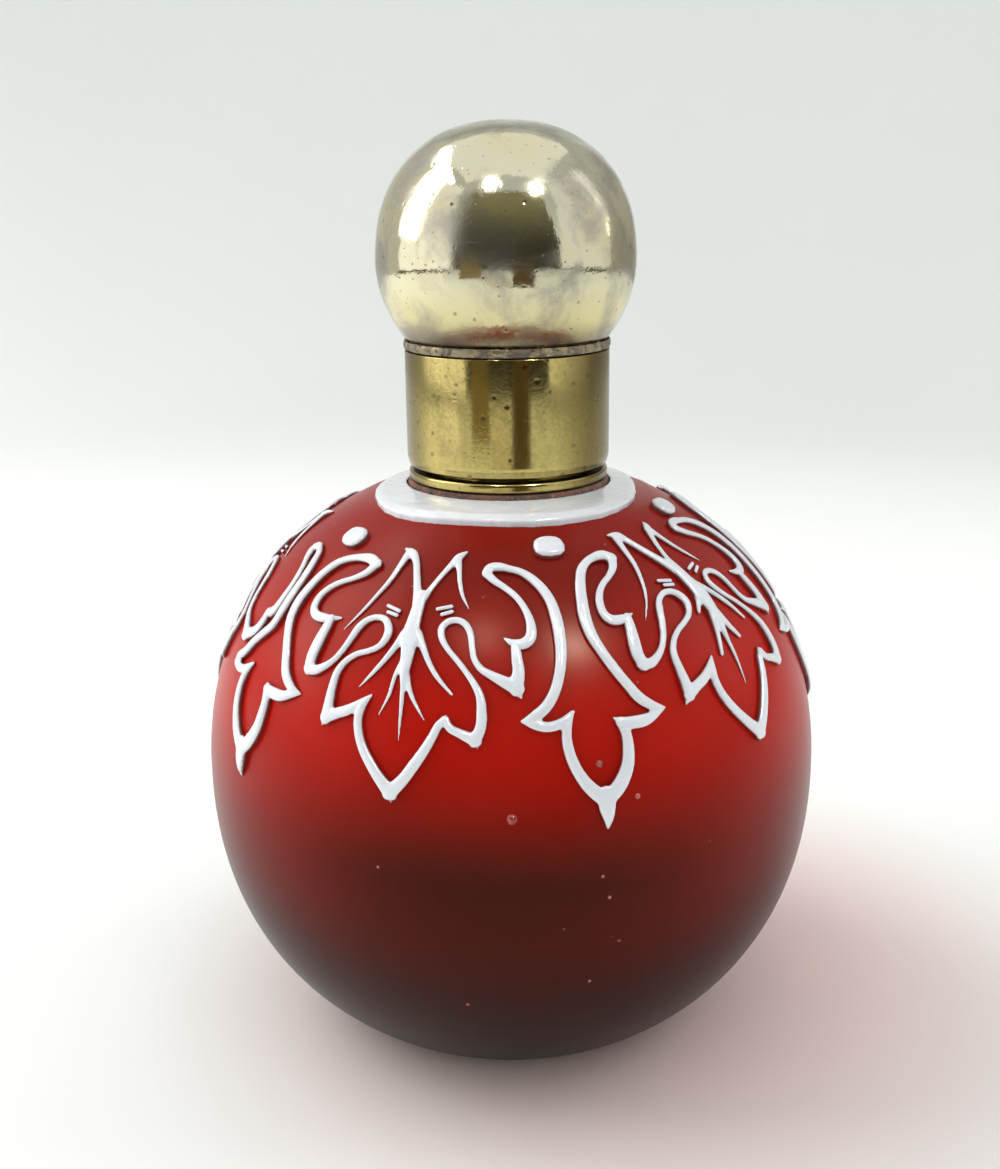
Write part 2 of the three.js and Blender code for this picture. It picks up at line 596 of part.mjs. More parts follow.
// Wraps a flat relief onto the globe.
function wrapped(geometry) {
  const position = geometry.getAttribute('position');
  for (let i = 0; i < position.count; i += 1) {
    const height = RELIEF_GAP + position.getZ(i) * RELIEF_DEPTH;
    position.setXYZ(i, ...onGlobe(position.getX(i), position.getY(i), height));
  }
  return withoutShortEdges(solid(geometry));
}

function mapStrokes(strokes, place) {
  return strokes.map((runs) => runs.map((run) => run.map(place)));
}

// A bud's curls reach further out or less far than the drawn ones.
function budPlace(bud) {
  return ([azimuth, elevation, width]) => {
    const reach = azimuth < 0 ? bud.leftReach : bud.rightReach;
    const share = smooth(elevation, CURL_REACH_FOOT, CURL_REACH_TOP);
    return [
      bud.azimuth + azimuth * (1 + (reach - 1) * share),
      elevation + bud.lift + bud.topLift * share,
      width,
    ];
  };
}

// A leaf's outline is drawn towards the curls that it grows from.
function leafPlace(leaf, before, after) {
  const stretch = (azimuth) => (azimuth < 0 ? azimuth * leaf.leftReach : azimuth);
  const pull = (bud, seat, end) => {
    const [azimuth, elevation] = budPlace(bud)(seat);
    const offset = azimuth - leaf.azimuth - stretch(end[0]);
    return [offset - Math.round(offset / TURN) * TURN, elevation - leaf.lift - end[1]];
  };
  const left = pull(before, CURL_SEAT.right, LEAF_END.left);
  const right = pull(after, CURL_SEAT.left, LEAF_END.right);
  return ([azimuth, elevation, width]) => {
    const [side, end] = azimuth < 0 ? [left, LEAF_END.left] : [right, LEAF_END.right];
    const out = smooth(Math.abs(azimuth), LEAF_BLEND_START, Math.abs(end[0]));
    const share = out * smooth(elevation, LEAF_BLEND_FOOT, LEAF_BLEND_TOP);
    const lean = leaf.lean * smooth(elevation, LEAN_FOOT, LEAN_TOP) * (1 - out);
    return [
      leaf.azimuth + stretch(azimuth) + lean + side[0] * share,
      elevation + leaf.lift + side[1] * share,
      width,
    ];
  };
}

function makeRelief(strokes) {
  return wrapped(joined(strokes.flatMap(strokeBlocks)));
}

function makeDot([azimuth, elevation]) {
  const [east, north] = degreeLengths(elevation);
  const outline = (inset, height) => Array.from({ length: DOT_SIDES }, (_, i) => {
    const turn = (i / DOT_SIDES) * 2 * Math.PI;
    const across = Math.sign(Math.cos(turn)) * Math.abs(Math.cos(turn)) ** (2 / DOT_POWER);
    const up = Math.sign(Math.sin(turn)) * Math.abs(Math.sin(turn)) ** (2 / DOT_POWER);
    return onGlobe(
      azimuth + (across * (DOT_HALF_WIDTH - inset)) / east,
      elevation + (up * (DOT_HALF_HEIGHT - inset)) / north,
      height,
    );
  });
  const levels = [
    outline(0, RELIEF_GAP),
    outline(0, RELIEF_GAP + RELIEF_DEPTH * 0.5),
    outline(RELIEF_EDGE * 2, RELIEF_GAP + RELIEF_DEPTH * 0.95),
  ];
  const points = [
    ...levels.flat(),
    onGlobe(azimuth, elevation, RELIEF_GAP),
    onGlobe(azimuth, elevation, RELIEF_GAP + RELIEF_DEPTH * 1.1),
  ];
  const footCentre = points.length - 2;
  const topCentre = points.length - 1;
  const index = [];
  for (let i = 0; i < DOT_SIDES; i += 1) {
    const next = (i + 1) % DOT_SIDES;
    index.push(footCentre, next, i);
    for (let level = 0; level < 2; level += 1) {
      const a = level * DOT_SIDES;
      const b = a + DOT_SIDES;
      index.push(a + i, a + next, b + next, a + i, b + next, b + i);
    }
    index.push(topCentre, 2 * DOT_SIDES + i, 2 * DOT_SIDES + next);
  }
  const geometry = new THREE.BufferGeometry();
  geometry.setAttribute('position', new THREE.Float32BufferAttribute(points.flat(), 3));
  geometry.setIndex(index);
  return solid(geometry);
}

// One helical ridge. Its root is at rootRadius and it stands out to
// crestRadius, so inward on the thread ring and outward on the ferrule.
function makeRidge(rootRadius, crestRadius, foot, startAngle) {
  const steps = Math.round(THREAD_STEPS_PER_TURN * THREAD_TURNS);
  const sunk = rootRadius - Math.sign(crestRadius - rootRadius) * FERRULE_WALL * 0.4;
  const section = [
    [sunk, -THREAD_ROOT_WIDTH / 2],
    [rootRadius, -THREAD_ROOT_WIDTH / 2],
    [crestRadius, -THREAD_CREST_WIDTH / 2],
    [crestRadius, THREAD_CREST_WIDTH / 2],
    [rootRadius, THREAD_ROOT_WIDTH / 2],
    [sunk, THREAD_ROOT_WIDTH / 2],
  ];
  const points = [];
  const index = [];
  const sides = section.length;
  for (let i = 0; i <= steps; i += 1) {
    const turns = i / THREAD_STEPS_PER_TURN;
    const angle = startAngle + turns * 2 * Math.PI;
    section.forEach(([radius, height]) => {
      points.push(
        radius * Math.cos(angle),
        radius * Math.sin(angle),
        foot + turns * THREAD_LEAD + height,
      );
    });
    if (i < steps) {
      for (let k = 0; k < sides; k += 1) {
        const a = i * sides + k;
        const b = i * sides + ((k + 1) % sides);
        index.push(a, b, b + sides, a, b + sides, a + sides);
      }
    }
  }
  const end = steps * sides;
  for (let k = 1; k < sides - 1; k += 1) {
    index.push(0, k + 1, k, end, end + k, end + k + 1);
  }
  const geometry = new THREE.BufferGeometry();
  geometry.setAttribute('position', new THREE.Float32BufferAttribute(points, 3));
  geometry.setIndex(index);
  return solid(geometry);
}

// The two starts of a thread. A rise of half the pitch meshes one with the other.
function makeRidges(rootRadius, crestRadius, rise) {
  const foot = flangeTop + THREAD_ABOVE_FLANGE + rise;
  return Array.from({ length: THREAD_STARTS }, (_, start) => (
    makeRidge(rootRadius, crestRadius, foot, (start / THREAD_STARTS) * 2 * Math.PI)
  ));
}

const threadPitch = THREAD_LEAD / THREAD_STARTS;

function makeFerruleTube() {
  const tube = turnedRing([
    [ferruleBore, flangeFoot],
    [ferruleRadius, flangeFoot],
    [ferruleRadius, ferruleTop],
    [ferruleBore, ferruleTop],
  ]);
  return joined([tube, ...makeRidges(ferruleRadius, ferruleRadius + THREAD_DEPTH, 0)]);
}

function makeThreadRing() {
  const foot = sleeveFoot + THREAD_RING_ABOVE_FOOT;
  const ring = turnedRing([
    [ringBore, foot],
    [ringRadius, foot],
    [ringRadius, ferruleTop],
    [ringBore, ferruleTop],
  ]);
  const ridges = makeRidges(ringBore, ferruleRadius + THREAD_CLEARANCE, threadPitch / 2);
  return joined([ring, ...ridges]);
}

function makeFlange() {
  const bore = ferruleRadius + COAXIAL_GAP;
  return turnedRing([
    [bore, flangeFoot],
    [flangeRadius - FLANGE_ROUND * 0.4, flangeFoot],
    [flangeRadius, flangeFoot + FLANGE_ROUND * 0.5],
    [flangeRadius, flangeTop - FLANGE_ROUND],
    [flangeRadius - FLANGE_ROUND * 0.3, flangeTop - FLANGE_ROUND * 0.3],
    [flangeRadius - FLANGE_ROUND, flangeTop],
    [bore, flangeTop],
  ]);
}

function makeCement() {
  const bore = neckRadius + COAXIAL_GAP;
  return turnedRing([
    [bore, cementFoot],
    [cementRadius, cementFoot],
    [cementRadius - CEMENT_OVERHANG, cementTop],
    [bore, cementTop],
  ]);
}

function makeStopper() {
  const top = neckTop + SEAT_GAP;
  const plugTop = BORE_TOP_RADIUS - STOPPER_CLEARANCE;
  const plugFoot = BORE_FOOT_RADIUS - STOPPER_CLEARANCE;
  const head = stopperHeadRadius;
  const height = STOPPER_HEAD_HEIGHT;
  return turned([
    [0, neckTop - STOPPER_PLUG_LENGTH],
    [plugFoot - 0.4, neckTop - STOPPER_PLUG_LENGTH],
    [plugFoot, neckTop - STOPPER_PLUG_LENGTH + 0.4],
    [plugTop, neckTop - NECK_LIP_ROUND],
    [plugTop, top],
    [head - 0.4, top],
    [head, top + 0.4],
    [head, top + height * 0.5],
    [head * 0.94, top + height * 0.72],
    [head * 0.75, top + height * 0.9],
    [head * 0.4, top + height * 0.98],
    [0, top + height],
  ]);
}

function makeWasher() {
  const foot = ferruleTop + SEAT_GAP;
  const hole = stopperHeadRadius + WASHER_HOLE_CLEARANCE;
  return turnedRing([
    [hole, foot],
    [ringRadius, foot],
    [ringRadius, foot + WASHER_THICKNESS],
    [hole, foot + WASHER_THICKNESS],
  ]);
}

function makeSleeve() {
  const tuck = SLEEVE_FOOT_TUCK;
  return turnedRing([
    [sleeveBore, sleeveFoot],
    [SLEEVE_RADIUS - tuck, sleeveFoot],
    [SLEEVE_RADIUS - tuck * 0.3, sleeveFoot + tuck * 1.5],
    [SLEEVE_RADIUS, sleeveFoot + tuck * 4],
    [SLEEVE_RADIUS, sleeveTop],
    [sleeveBore, sleeveTop],
  ]);
}

function makeBall() {
  const edgeAngle = angleAtRadius(ballOpeningRadius, BALL_RADIUS, BALL_FOOT_POWER);
  const shell = (inset) => [
    ...superellipseArc(
      BALL_RADIUS - inset, BALL_CROWN_SEMI_AXIS - inset, BALL_CROWN_POWER, 90, 0, 7,
    ).map(([r, h]) => [r, ballCentre + h]),
    ...superellipseArc(
      BALL_RADIUS - inset, BALL_FOOT_SEMI_AXIS - inset, BALL_FOOT_POWER, 0, edgeAngle, 4,
    ).slice(1).map(([r, h]) => [r, ballCentre - h]),
  ];
  const outer = shell(0);
  const inner = shell(BALL_WALL);
  inner[inner.length - 1][1] = ballEdge;
  outer[0][0] = 0;
  inner[0][0] = 0;
  return turned([...outer, ...inner.reverse()]);
}

// Solder that fills the joint between the sleeve's rim and the ball's.
function makeSeam() {
  const proud = SLEEVE_RADIUS + SEAM_PROUD;
  return turnedRing([
    [sleeveBore, seamFoot],
    [SLEEVE_RADIUS, seamFoot],
    [proud, seamFoot + SEAM_FILLET],
    [proud, seamTop],
    [proud - SEAM_PROUD * 0.5, seamTop + SEAM_FILLET],
    [ballOpeningRadius + COAXIAL_GAP, seamTop],
    [sleeveBore, seamTop],
  ]);
}

addPiece('glass_body', makeGlassBody(), ruby);
addPiece('cameo_neck_disc', makeNeckDisc(), white);
BUDS.forEach((bud, i) => {
  addPiece(`cameo_bud_${i + 1}`, makeRelief(mapStrokes(BUD_STROKES, budPlace(bud))), white);
  addPiece(`cameo_dot_${i + 1}`, makeDot(DOTS[i]), white);
});
LEAVES.forEach((leaf, i) => {
  const place = leafPlace(leaf, BUDS[i], BUDS[(i + 1) % BUDS.length]);
  const stemStrokes = [...STEM_STROKES, ...leaf.veins];
  addPiece(`cameo_leaf_${i + 1}`, makeRelief(mapStrokes(LEAF_STROKES, place)), white);
  addPiece(`cameo_stem_${i + 1}`, makeRelief(mapStrokes(stemStrokes, place)), white);
});
addPiece('neck_cement', makeCement(), plaster);
addPiece('ferrule_tube', makeFerruleTube(), brass);
addPiece('ferrule_flange', makeFlange(), brass);
addPiece('stopper', makeStopper(), clear);
addPiece('cap_washer', makeWasher(), cork);
addPiece('cap_thread_ring', makeThreadRing(), brass);
addPiece('cap_sleeve', makeSleeve(), brass);
addPiece('cap_solder_seam', makeSeam(), solder);
addPiece('cap_ball', makeBall(), plate);

export default scentBottle;
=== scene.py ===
"""Globe scent bottle of cased ruby glass, modelled and finished over its CAD solids."""

import math

import bpy
from bpy.props import FloatProperty, FloatVectorProperty, IntProperty, PointerProperty
from bpy.types import Operator, Panel, PropertyGroup
from mathutils import Matrix, Vector


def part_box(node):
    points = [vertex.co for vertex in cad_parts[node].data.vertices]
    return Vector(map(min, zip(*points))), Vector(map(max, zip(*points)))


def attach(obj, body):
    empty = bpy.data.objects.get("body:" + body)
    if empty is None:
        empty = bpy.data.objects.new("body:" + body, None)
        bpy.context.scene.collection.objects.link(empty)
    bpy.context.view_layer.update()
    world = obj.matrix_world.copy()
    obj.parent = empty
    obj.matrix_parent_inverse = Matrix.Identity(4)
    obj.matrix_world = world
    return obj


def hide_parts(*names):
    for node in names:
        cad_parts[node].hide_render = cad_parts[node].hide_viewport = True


bl_info = {
    "name": "Globe scent bottle",
    "version": (1, 0, 0),
    "blender": (4, 5, 0),
    "location": "3D View > Sidebar > Scent bottle",
    "description": "Models and finishes a globe scent bottle of cased ruby glass",
    "category": "Add Mesh",
}

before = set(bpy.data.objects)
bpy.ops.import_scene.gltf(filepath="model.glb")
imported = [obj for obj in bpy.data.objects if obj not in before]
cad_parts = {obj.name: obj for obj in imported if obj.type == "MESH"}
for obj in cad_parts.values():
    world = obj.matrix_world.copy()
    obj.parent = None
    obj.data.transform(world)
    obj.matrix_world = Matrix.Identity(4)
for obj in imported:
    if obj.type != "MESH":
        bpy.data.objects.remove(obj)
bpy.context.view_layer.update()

MM = 0.001
JOIN_DISTANCE = 2e-6
SMOOTH_ANGLE = math.radians(40)
WHOLE_TURN = 2 * math.pi

# Glass globe, in millimetres
GLOBE_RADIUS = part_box("glass_body")[1][0] / MM
GLOBE_CENTRE = 27.5
CROWN_SEMI_AXIS = 31.2
CROWN_POWER = 2.13
FOOT_SEMI_AXIS = 31.5
FOOT_POWER = 2.2
SHOULDER_RADIUS = 14.5
NECK_RADIUS = 7.4
NECK_ROOT_RISE = 0.9
NECK_ROOT_ROUND = 0.3
NECK_ROUND = 0.4
BORE_TOP_RADIUS = 4.3
BORE_FOOT_RADIUS = 4.0
BORE_DEPTH = 6

# Middle of the globe, in metres
GLOBE_MIDDLE = Vector((0, 0, GLOBE_CENTRE * MM))

# Steps of the turned arcs
FOOT_STEPS = 36
CROWN_STEPS = 40
HOLLOW_STEPS = 24
BASE_ROUND_STEPS = 5
FLANGE_ROUND_STEPS = 5
BALL_CROWN_STEPS = 36
BALL_FOOT_STEPS = 20

# Neck mount and sleeve, in millimetres
RING_PLAY = 0.15
SLEEVE_BORE = 9.8
SLEEVE_TAPER = 0.2
SLEEVE_TAPER_HEIGHT = 0.8
SEAM_ROUND = 0.1
SEAM_SWELL_HEIGHT = 0.4
SEAM_DIP = 0.2
WASHER_BORE = 6.5

# Ball of the cap, in millimetres
BALL_CROWN_SEMI_AXIS = 13.15
BALL_CROWN_POWER = 2.23
BALL_FOOT_SEMI_AXIS = 12.57
BALL_FOOT_POWER = 1.93
BALL_OPENING_RADIUS = 10.0
BALL_WALL = 0.6

# Screw thread, in millimetres
THREAD_STARTS = 2
THREAD_LEAD = 3.2
THREAD_TURNS = 1.1
THREAD_ABOVE_FLANGE = 2.2
THREAD_ROOT_WIDTH = 0.7
THREAD_CREST_WIDTH = 0.4
THREAD_SINK = 0.2
THREAD_STEPS = 72
FERRULE_BORE = 7.7
FERRULE_RADIUS = 8.3
FERRULE_CREST = 8.8
RING_BORE = 9.0
RING_CREST = 8.5

# Stopper, in millimetres; the shares are of the head's radius
STOPPER_HEAD = 3.6
STOPPER_RIM = 1.9
STOPPER_SLOPE = 3.3
STOPPER_SLOPE_SHARE = 0.75
STOPPER_CROWN_SHARE = 0.4
STOPPER_PLAY = 0.2
STOPPER_NECK = 0.8

# Width of the modelled strokes, as a share of the drawn width
STROKE_FULLNESS = 1.16

# A corner's point: how far it reaches, as a share of the stroke's half width,
# the least opening that it is reckoned with, its tip's radius and its steps
CORNER_REACH = 2.5
CORNER_OPENING = 0.05
CORNER_TIP = 0.05 * MM
CORNER_STEPS = (0, 0.25, 0.5, 0.75, 1)

# How far round a stroke's end is closed, in degrees
END_SWEEP = 86

# Share of a stroke's height where its top starts to flatten
KNEE_SHARE = 0.45

# Below this cosine to the way out, a face of the carved overlay is on its underside
UNDERSIDE = -0.6

# Border of leaves and buds. A stroke is a list of runs that meet in corners,
# and a run is a list of (azimuth, elevation, width) in degrees and millimetres.
STEM_STROKES = [
  # stem and centre vein
  [[(-1, 46.2, 0.95), (-0.9, 44, 1.05), (-0.8, 41.5, 1.2), (-0.6, 39, 1.5), (-0.3, 36.5, 1.2),
    (-0.2, 34, 0.95), (0, 31, 0.5), (0.25, 28, 0.38), (0.5, 22.8, 0.15)]],
  # left sepal
  [[(-1.3, 44.5, 0.9), (-2.6, 47, 0.75), (-4.6, 50, 0.65), (-6.6, 52.6, 0.65), (-8.8, 54.3, 0.8),
    (-11.9, 55.4, 0.35)]],
  [[(-10, 54.5, 0.75), (-10.6, 51.5, 0.55), (-11.2, 48.5, 0.48), (-12.6, 45.6, 0.4),
    (-14.3, 42.6, 0.32), (-17, 39, 0.15)]],
  # right sepal
  [[(-0.5, 45.4, 0.7), (0.6, 48, 0.5), (2.3, 50.8, 0.48), (4, 52.9, 0.6), (5.2, 54.2, 0.75),
    (7, 55.8, 0.25)]],
  [[(5.1, 53.9, 0.7), (6.2, 51.8, 0.5), (7.2, 49.4, 0.42), (8.6, 47, 0.35), (10.6, 44.8, 0.15)]],
]

LEAF_STROKES = [
  # left half of the outline, from the curl of the bud before it
  [[(-21.2, 40, 0.85), (-21.3, 38.3, 0.95), (-21.6, 36, 1.1), (-22, 33.4, 1.1), (-21.9, 31.2, 1)],
    [(-20.2, 31.2, 0.9), (-18.5, 32, 0.75), (-16.5, 33.5, 0.6), (-15, 35.5, 0.6), (-14, 37.7, 0.65),
      (-13.2, 39.6, 0.7), (-12, 41, 0.6), (-9.8, 41.7, 0.58), (-7.6, 41.3, 0.65),
      (-6.2, 39.9, 0.75), (-6, 38.6, 0.75), (-7, 37, 0.6), (-9, 36, 0.55), (-11.5, 35.2, 0.55),
      (-13.5, 33.8, 0.6), (-14.7, 31.8, 0.7), (-15, 29, 0.8), (-14.9, 26.5, 0.95),
      (-14.7, 24.4, 1.1)],
    [(-12.5, 25.3, 0.95), (-10, 26.3, 0.9), (-6.3, 29, 0.3)]],
  # main tip and the right half, to the curl of the bud after it
  [[(-6.5, 28.8, 0.35), (-7.6, 27.1, 0.75), (-7.9, 25.3, 0.8), (-7.2, 22.8, 0.8),
    (-5.8, 20.5, 0.85), (-3.8, 18.2, 0.9), (-2, 16.4, 1), (0, 14.7, 1.2)],
  [(2, 16.8, 1), (3.7, 19.2, 0.95), (5.4, 21.8, 0.85), (6.6, 24, 0.75), (7.4, 25.6, 0.7),
    (8.4, 26.4, 0.7)],
  [(9.5, 25.2, 0.7), (11, 24.6, 0.75), (13.7, 23.6, 1)],
  [(14.6, 25.6, 0.9), (14.7, 28, 0.85), (14.4, 30.3, 0.72), (13.3, 32.3, 0.6), (11.7, 34.1, 0.52),
    (9.7, 35.9, 0.5), (7.4, 37.7, 0.52), (5.9, 39.4, 0.6), (5.5, 40.9, 0.62), (6.6, 42.1, 0.6),
    (8.5, 42.5, 0.6), (10.5, 41.9, 0.6), (11.8, 40.4, 0.58), (12.4, 38.4, 0.55),
    (13, 36.5, 0.55), (14.4, 34.9, 0.6), (16.5, 33.9, 0.75), (18.5, 33, 0.95), (20.9, 31.9, 1.2)],
  [(21.5, 34.5, 1), (21.3, 36.8, 0.9), (21.1, 38.6, 0.8)]],
]

FORKED_VEINS = [
  [[(-2, 39.3, 0.9), (-3.4, 37.2, 0.62), (-5, 35, 0.5), (-6.8, 32.8, 0.4), (-9.4, 30, 0.15)]],
  [[(0.8, 39.5, 0.9), (2.6, 37.4, 0.62), (4.2, 35.2, 0.5), (6, 33.2, 0.45), (9.2, 30.5, 0.25)]],
  [[(-1, 35.5, 0.5), (-2.1, 32.5, 0.4), (-2.6, 29.5, 0.33), (-4.1, 26.2, 0.15)]],
  [[(0, 34.2, 0.55), (0.8, 31.8, 0.5), (1.8, 29.9, 0.42), (4.7, 26.2, 0.15)]],
]

OPEN_VEINS = [
  [[(-1.2, 40.5, 0.8), (-2.4, 38.4, 0.6), (-3.9, 36.7, 0.42)]],
  [[(0.2, 41.5, 0.8), (3.4, 39.2, 0.55), (6.4, 36.2, 0.48), (9.6, 32.6, 0.3)]],
  [[(-0.6, 36, 0.9), (-1.9, 32.5, 0.55), (-3.3, 28.9, 0.42)]],
  [[(0.2, 36, 0.9), (2.1, 33, 0.62), (4.2, 30.4, 0.4)]],
]

BUD_STROKES = [
  # left curl, from its barb to its end, then over the top and down to the left hook
  [[(-16.1, 39.1, 0.25), (-14.6, 38.3, 0.65), (-12.6, 38, 0.95), (-11, 39, 0.95), (-10.7, 41.2, 0.8),
    (-11.6, 43.8, 0.62), (-13.4, 46.1, 0.6), (-16, 47.9, 0.6), (-18.6, 49.2, 0.68),
    (-20.7, 50.6, 0.8)]],
  [[(-20.8, 50.8, 0.8), (-20, 51.7, 0.85), (-18, 52, 0.85), (-15, 51.6, 0.7), (-12, 50.9, 0.7),
    (-9.4, 49.4, 0.8), (-7.3, 47.4, 0.85), (-5.9, 45, 0.9), (-5.3, 42.2, 0.98), (-5.1, 39.5, 1),
    (-5.3, 36.3, 0.95), (-6, 33.2, 0.9), (-7.3, 30.2, 0.9), (-9, 28, 0.95), (-10.8, 26.8, 0.9),
    (-13.2, 26, 0.25)]],
  [[(-13.2, 26, 0.25), (-11, 25.4, 0.8), (-8.7, 25, 0.85), (-6.5, 25.5, 0.8), (-4.4, 27, 0.4)]],
  # lower point, between the two hooks
  [[(-4.6, 26.8, 0.45), (-5.5, 25, 0.75), (-5.8, 23, 0.85), (-5.3, 20.2, 0.9), (-4.1, 17.5, 0.95),
    (-2.4, 15.2, 1.1), (0, 13.2, 1.3)],
  [(2.3, 15.2, 1.25), (4, 18, 1.1), (4.5, 20.5, 1), (4.5, 22.8, 0.9), (4, 24.6, 0.9)],
  [(6, 24.4, 1.05), (8.5, 24.5, 1), (12.8, 25.8, 0.25)]],
  [[(0, 13.7, 1.5), (0.1, 11.9, 1.35), (0.2, 10.3, 0.9), (0.2, 8.7, 0.3)]],
  # right hook, up and over to the end of the right curl, then back to its barb
  [[(12.8, 25.8, 0.25), (10.4, 26.4, 0.8), (8, 28, 0.95), (6.5, 30, 0.9), (4.45, 33, 0.9),
    (2.7, 36, 0.9), (1.3, 39, 1), (0.85, 42, 1.05), (1.2, 45, 0.98), (2, 48, 0.9),
    (3.4, 50.5, 0.85), (5.5, 52, 0.75), (8, 52.8, 0.8), (11, 53, 1), (13.2, 52.3, 0.9)]],
  [[(13.2, 52.2, 0.9), (12.2, 50.4, 0.75), (10, 48.8, 0.6), (7.8, 47.6, 0.6), (6, 46, 0.65),
    (5.1, 44, 0.75), (5.3, 42, 0.8), (6.6, 40.9, 0.9), (9, 40.8, 0.85), (11.9, 41.6, 0.25)]],
]

# Where a leaf's outline meets the curls of the buds beside it
CURL_SEAT_RIGHT = (10.2, 39.9)
CURL_SEAT_LEFT = (-14, 36.3)
LEAF_END_LEFT = (-21.2, 39.1)
LEAF_END_RIGHT = (21.1, 37.3)
LEAF_BLEND_START = 5
LEAF_BLEND_FOOT = 26
LEAF_BLEND_TOP = 37
CURL_REACH_FOOT = 30
CURL_REACH_TOP = 38
LEAN_FOOT = 36
LEAN_TOP = 56

# Azimuth, lift, top lift, left and right reach of each bud
BUDS = (
    (-54.1, 0.3, -2.1, 0.52, 1.34),
    (15, 0, 0, 1, 1),
    (85, 3, 0.9, 1.22, 1.1),
    (157, 1.5, 0, 1.05, 1.2),
    (230, 0.5, 0, 1, 1.25),
)
# Azimuth, lift, lean, left reach and veins of each leaf
LEAVES = (
    (-19.7, -0.5, 0.6, 0.94, FORKED_VEINS),
    (48, 2.6, -5, 1, OPEN_VEINS),
    (121.5, 2, -1, 1, FORKED_VEINS),
    (193.5, 1, 1, 0.98, OPEN_VEINS),
    (267, 0, 0, 0.96, FORKED_VEINS),
)
# Azimuth, elevation and radius in millimetres of the small blisters in the glass
SEEDS = (
    (0, 11, 0.55),
    (14.5, 18.8, 0.42),
    (20.6, 12.9, 0.3),
    (14.3, 0.5, 0.19),
    (15.5, -3.3, 0.2),
    (17.5, -11.8, 0.17),
    (13, -19.5, 0.18),
    (-8.2, -24.2, 0.22),
    (-21.9, 1.4, 0.16),
)
# Ends of the short strokes beside a leaf's stem, as (azimuth, elevation)
STEM_TICKS = (
    ((-8.5, 43.9), (-5.4, 43.2)),
    ((-7.9, 42.8), (-5.6, 42.4)),
    ((3.6, 44.2), (6.5, 44.8)),
    ((4.9, 43.3), (6.9, 43.9)),
)

# A blister's depth in the glass, as a share of its radius
SEED_DEPTH = 0.5

# Height of a tick's middle over the globe, as a share of its width
TICK_RISE = 0.35

# Tints of pits, specks and films, as light
GLASS_SPECK = (0.6, 0.4, 0.36, 1)
WHITE_FLECK = (0.25, 0.12, 0.1, 1)
PLATE_FOOT = (0.13, 0.105, 0.075, 1)
PLATE_PIT = (0.1, 0.08, 0.06, 1)
PLATE_SPECK = (0.16, 0.12, 0.08, 1)
BRASS_GRAIN = (0.12, 0.08, 0.02, 1)
BRASS_PIT = (0.055, 0.035, 0.015, 1)
SOLDER_FILM = (0.15, 0.125, 0.095, 1)
SOLDER_PIT = (0.06, 0.045, 0.035, 1)
CEMENT_PATCH = (0.07, 0.03, 0.02, 1)
CEMENT_GRAIN = (0.55, 0.45, 0.3, 1)
STOPPER_CLEAR = (0.93, 0.96, 0.95, 1)
STOPPER_CLOUD = (0.86, 0.9, 0.88, 1)
CORK_PATCH = (0.22, 0.12, 0.06, 1)
CORK_PORE = (0.05, 0.025, 0.012, 1)

# Tints of the ground, as light: uneven cloud, a painted rosy shadow near the bottle and painted
# shade far away and high up; and the middle of the bottle's shadow in millimetres
GROUND_CLOUD = (0.72, 0.7, 0.66, 1)
GROUND_PAINTED_ROSY_SHADOW = (0.86, 0.64, 0.6, 1)
GROUND_FAR_SHADE = (0.6, 0.62, 0.6, 1)
SHADOW_MIDDLE = (14, 2, 0)

# Where a ground tint starts and ends: by distance from that middle, and by height
SHADOW_REACH = (62.0, 14.0)
AWAY_REACH = (170.0, 400.0)
HIGH_REACH = (60.0, 480.0)

# How far pits and scratches are bent off a straight pattern, in millimetres
PIT_BEND = (0.25, 0.25, 0.25)
SCRATCH_BEND = (0.8, 0.8, 0.8)

# The world's light, and the world as the camera sees it
WORLD_LIGHT = (0.95, 0.97, 1.0, 1)
WORLD_SEEN = (0.86, 0.87, 0.86, 1)

# Lamps: name, power setting and share of it, width in metres, azimuth, elevation and distance
LAMPS = (
    ("key_light", "key_power", 1, 0.45, -105, 35, 0.5),
    ("top_light", "top_power", 1, 0.68, 180, 84, 0.6),
    ("fill_light", "fill_power", 1, 0.35, 105, 30, 0.5),
    ("front_light", "front_power", 1, 0.4, 8, 38, 0.5),
    ("left_spot", "spot_power", 0.35, 0.05, -18, 59, 0.5),
    ("right_spot", "spot_power", 1, 0.05, 36, 52, 0.5),
)

# Lamps no wider than this show in polished surfaces alone
SPOT_WIDTH = 0.1

# Point that the lamps face
AIM = Vector((0, 0, 0.05))

# Glow of the screens, as light, at their top and at their foot
GLOWS = {
    "dim_room": ((0.2, 0.18, 0.09, 1), (0.02, 0.02, 0.015, 1)),
    "grey_wall": ((0.5, 0.5, 0.47, 1), (0.4, 0.39, 0.36, 1)),
    "pale_wall": ((0.62, 0.63, 0.62, 1), (0.6, 0.6, 0.58, 1)),
    "lit_wall": ((1.0, 1.0, 1.0, 1), (1.35, 1.35, 1.4, 1)),
    "white_wall": ((0.8, 0.8, 0.8, 1), (0.9, 0.9, 0.88, 1)),
    "stand_leg": ((0.1, 0.06, 0.02, 1), (0.1, 0.06, 0.02, 1)),
    "pale_leg": ((0.24, 0.18, 0.08, 1), (0.24, 0.18, 0.08, 1)),
    "tent_edge": ((0.05, 0.04, 0.03, 1), (0.05, 0.04, 0.03, 1)),
    "floor_glow": ((1.15, 1.15, 1.2, 1), (1.15, 1.15, 1.2, 1)),
    "floor_calm": ((0.7, 0.68, 0.6, 1), (0.7, 0.68, 0.6, 1)),
}

# Heights between which a glow changes, in millimetres
GLOW_FOOT = 60.0
GLOW_TOP = 330.0

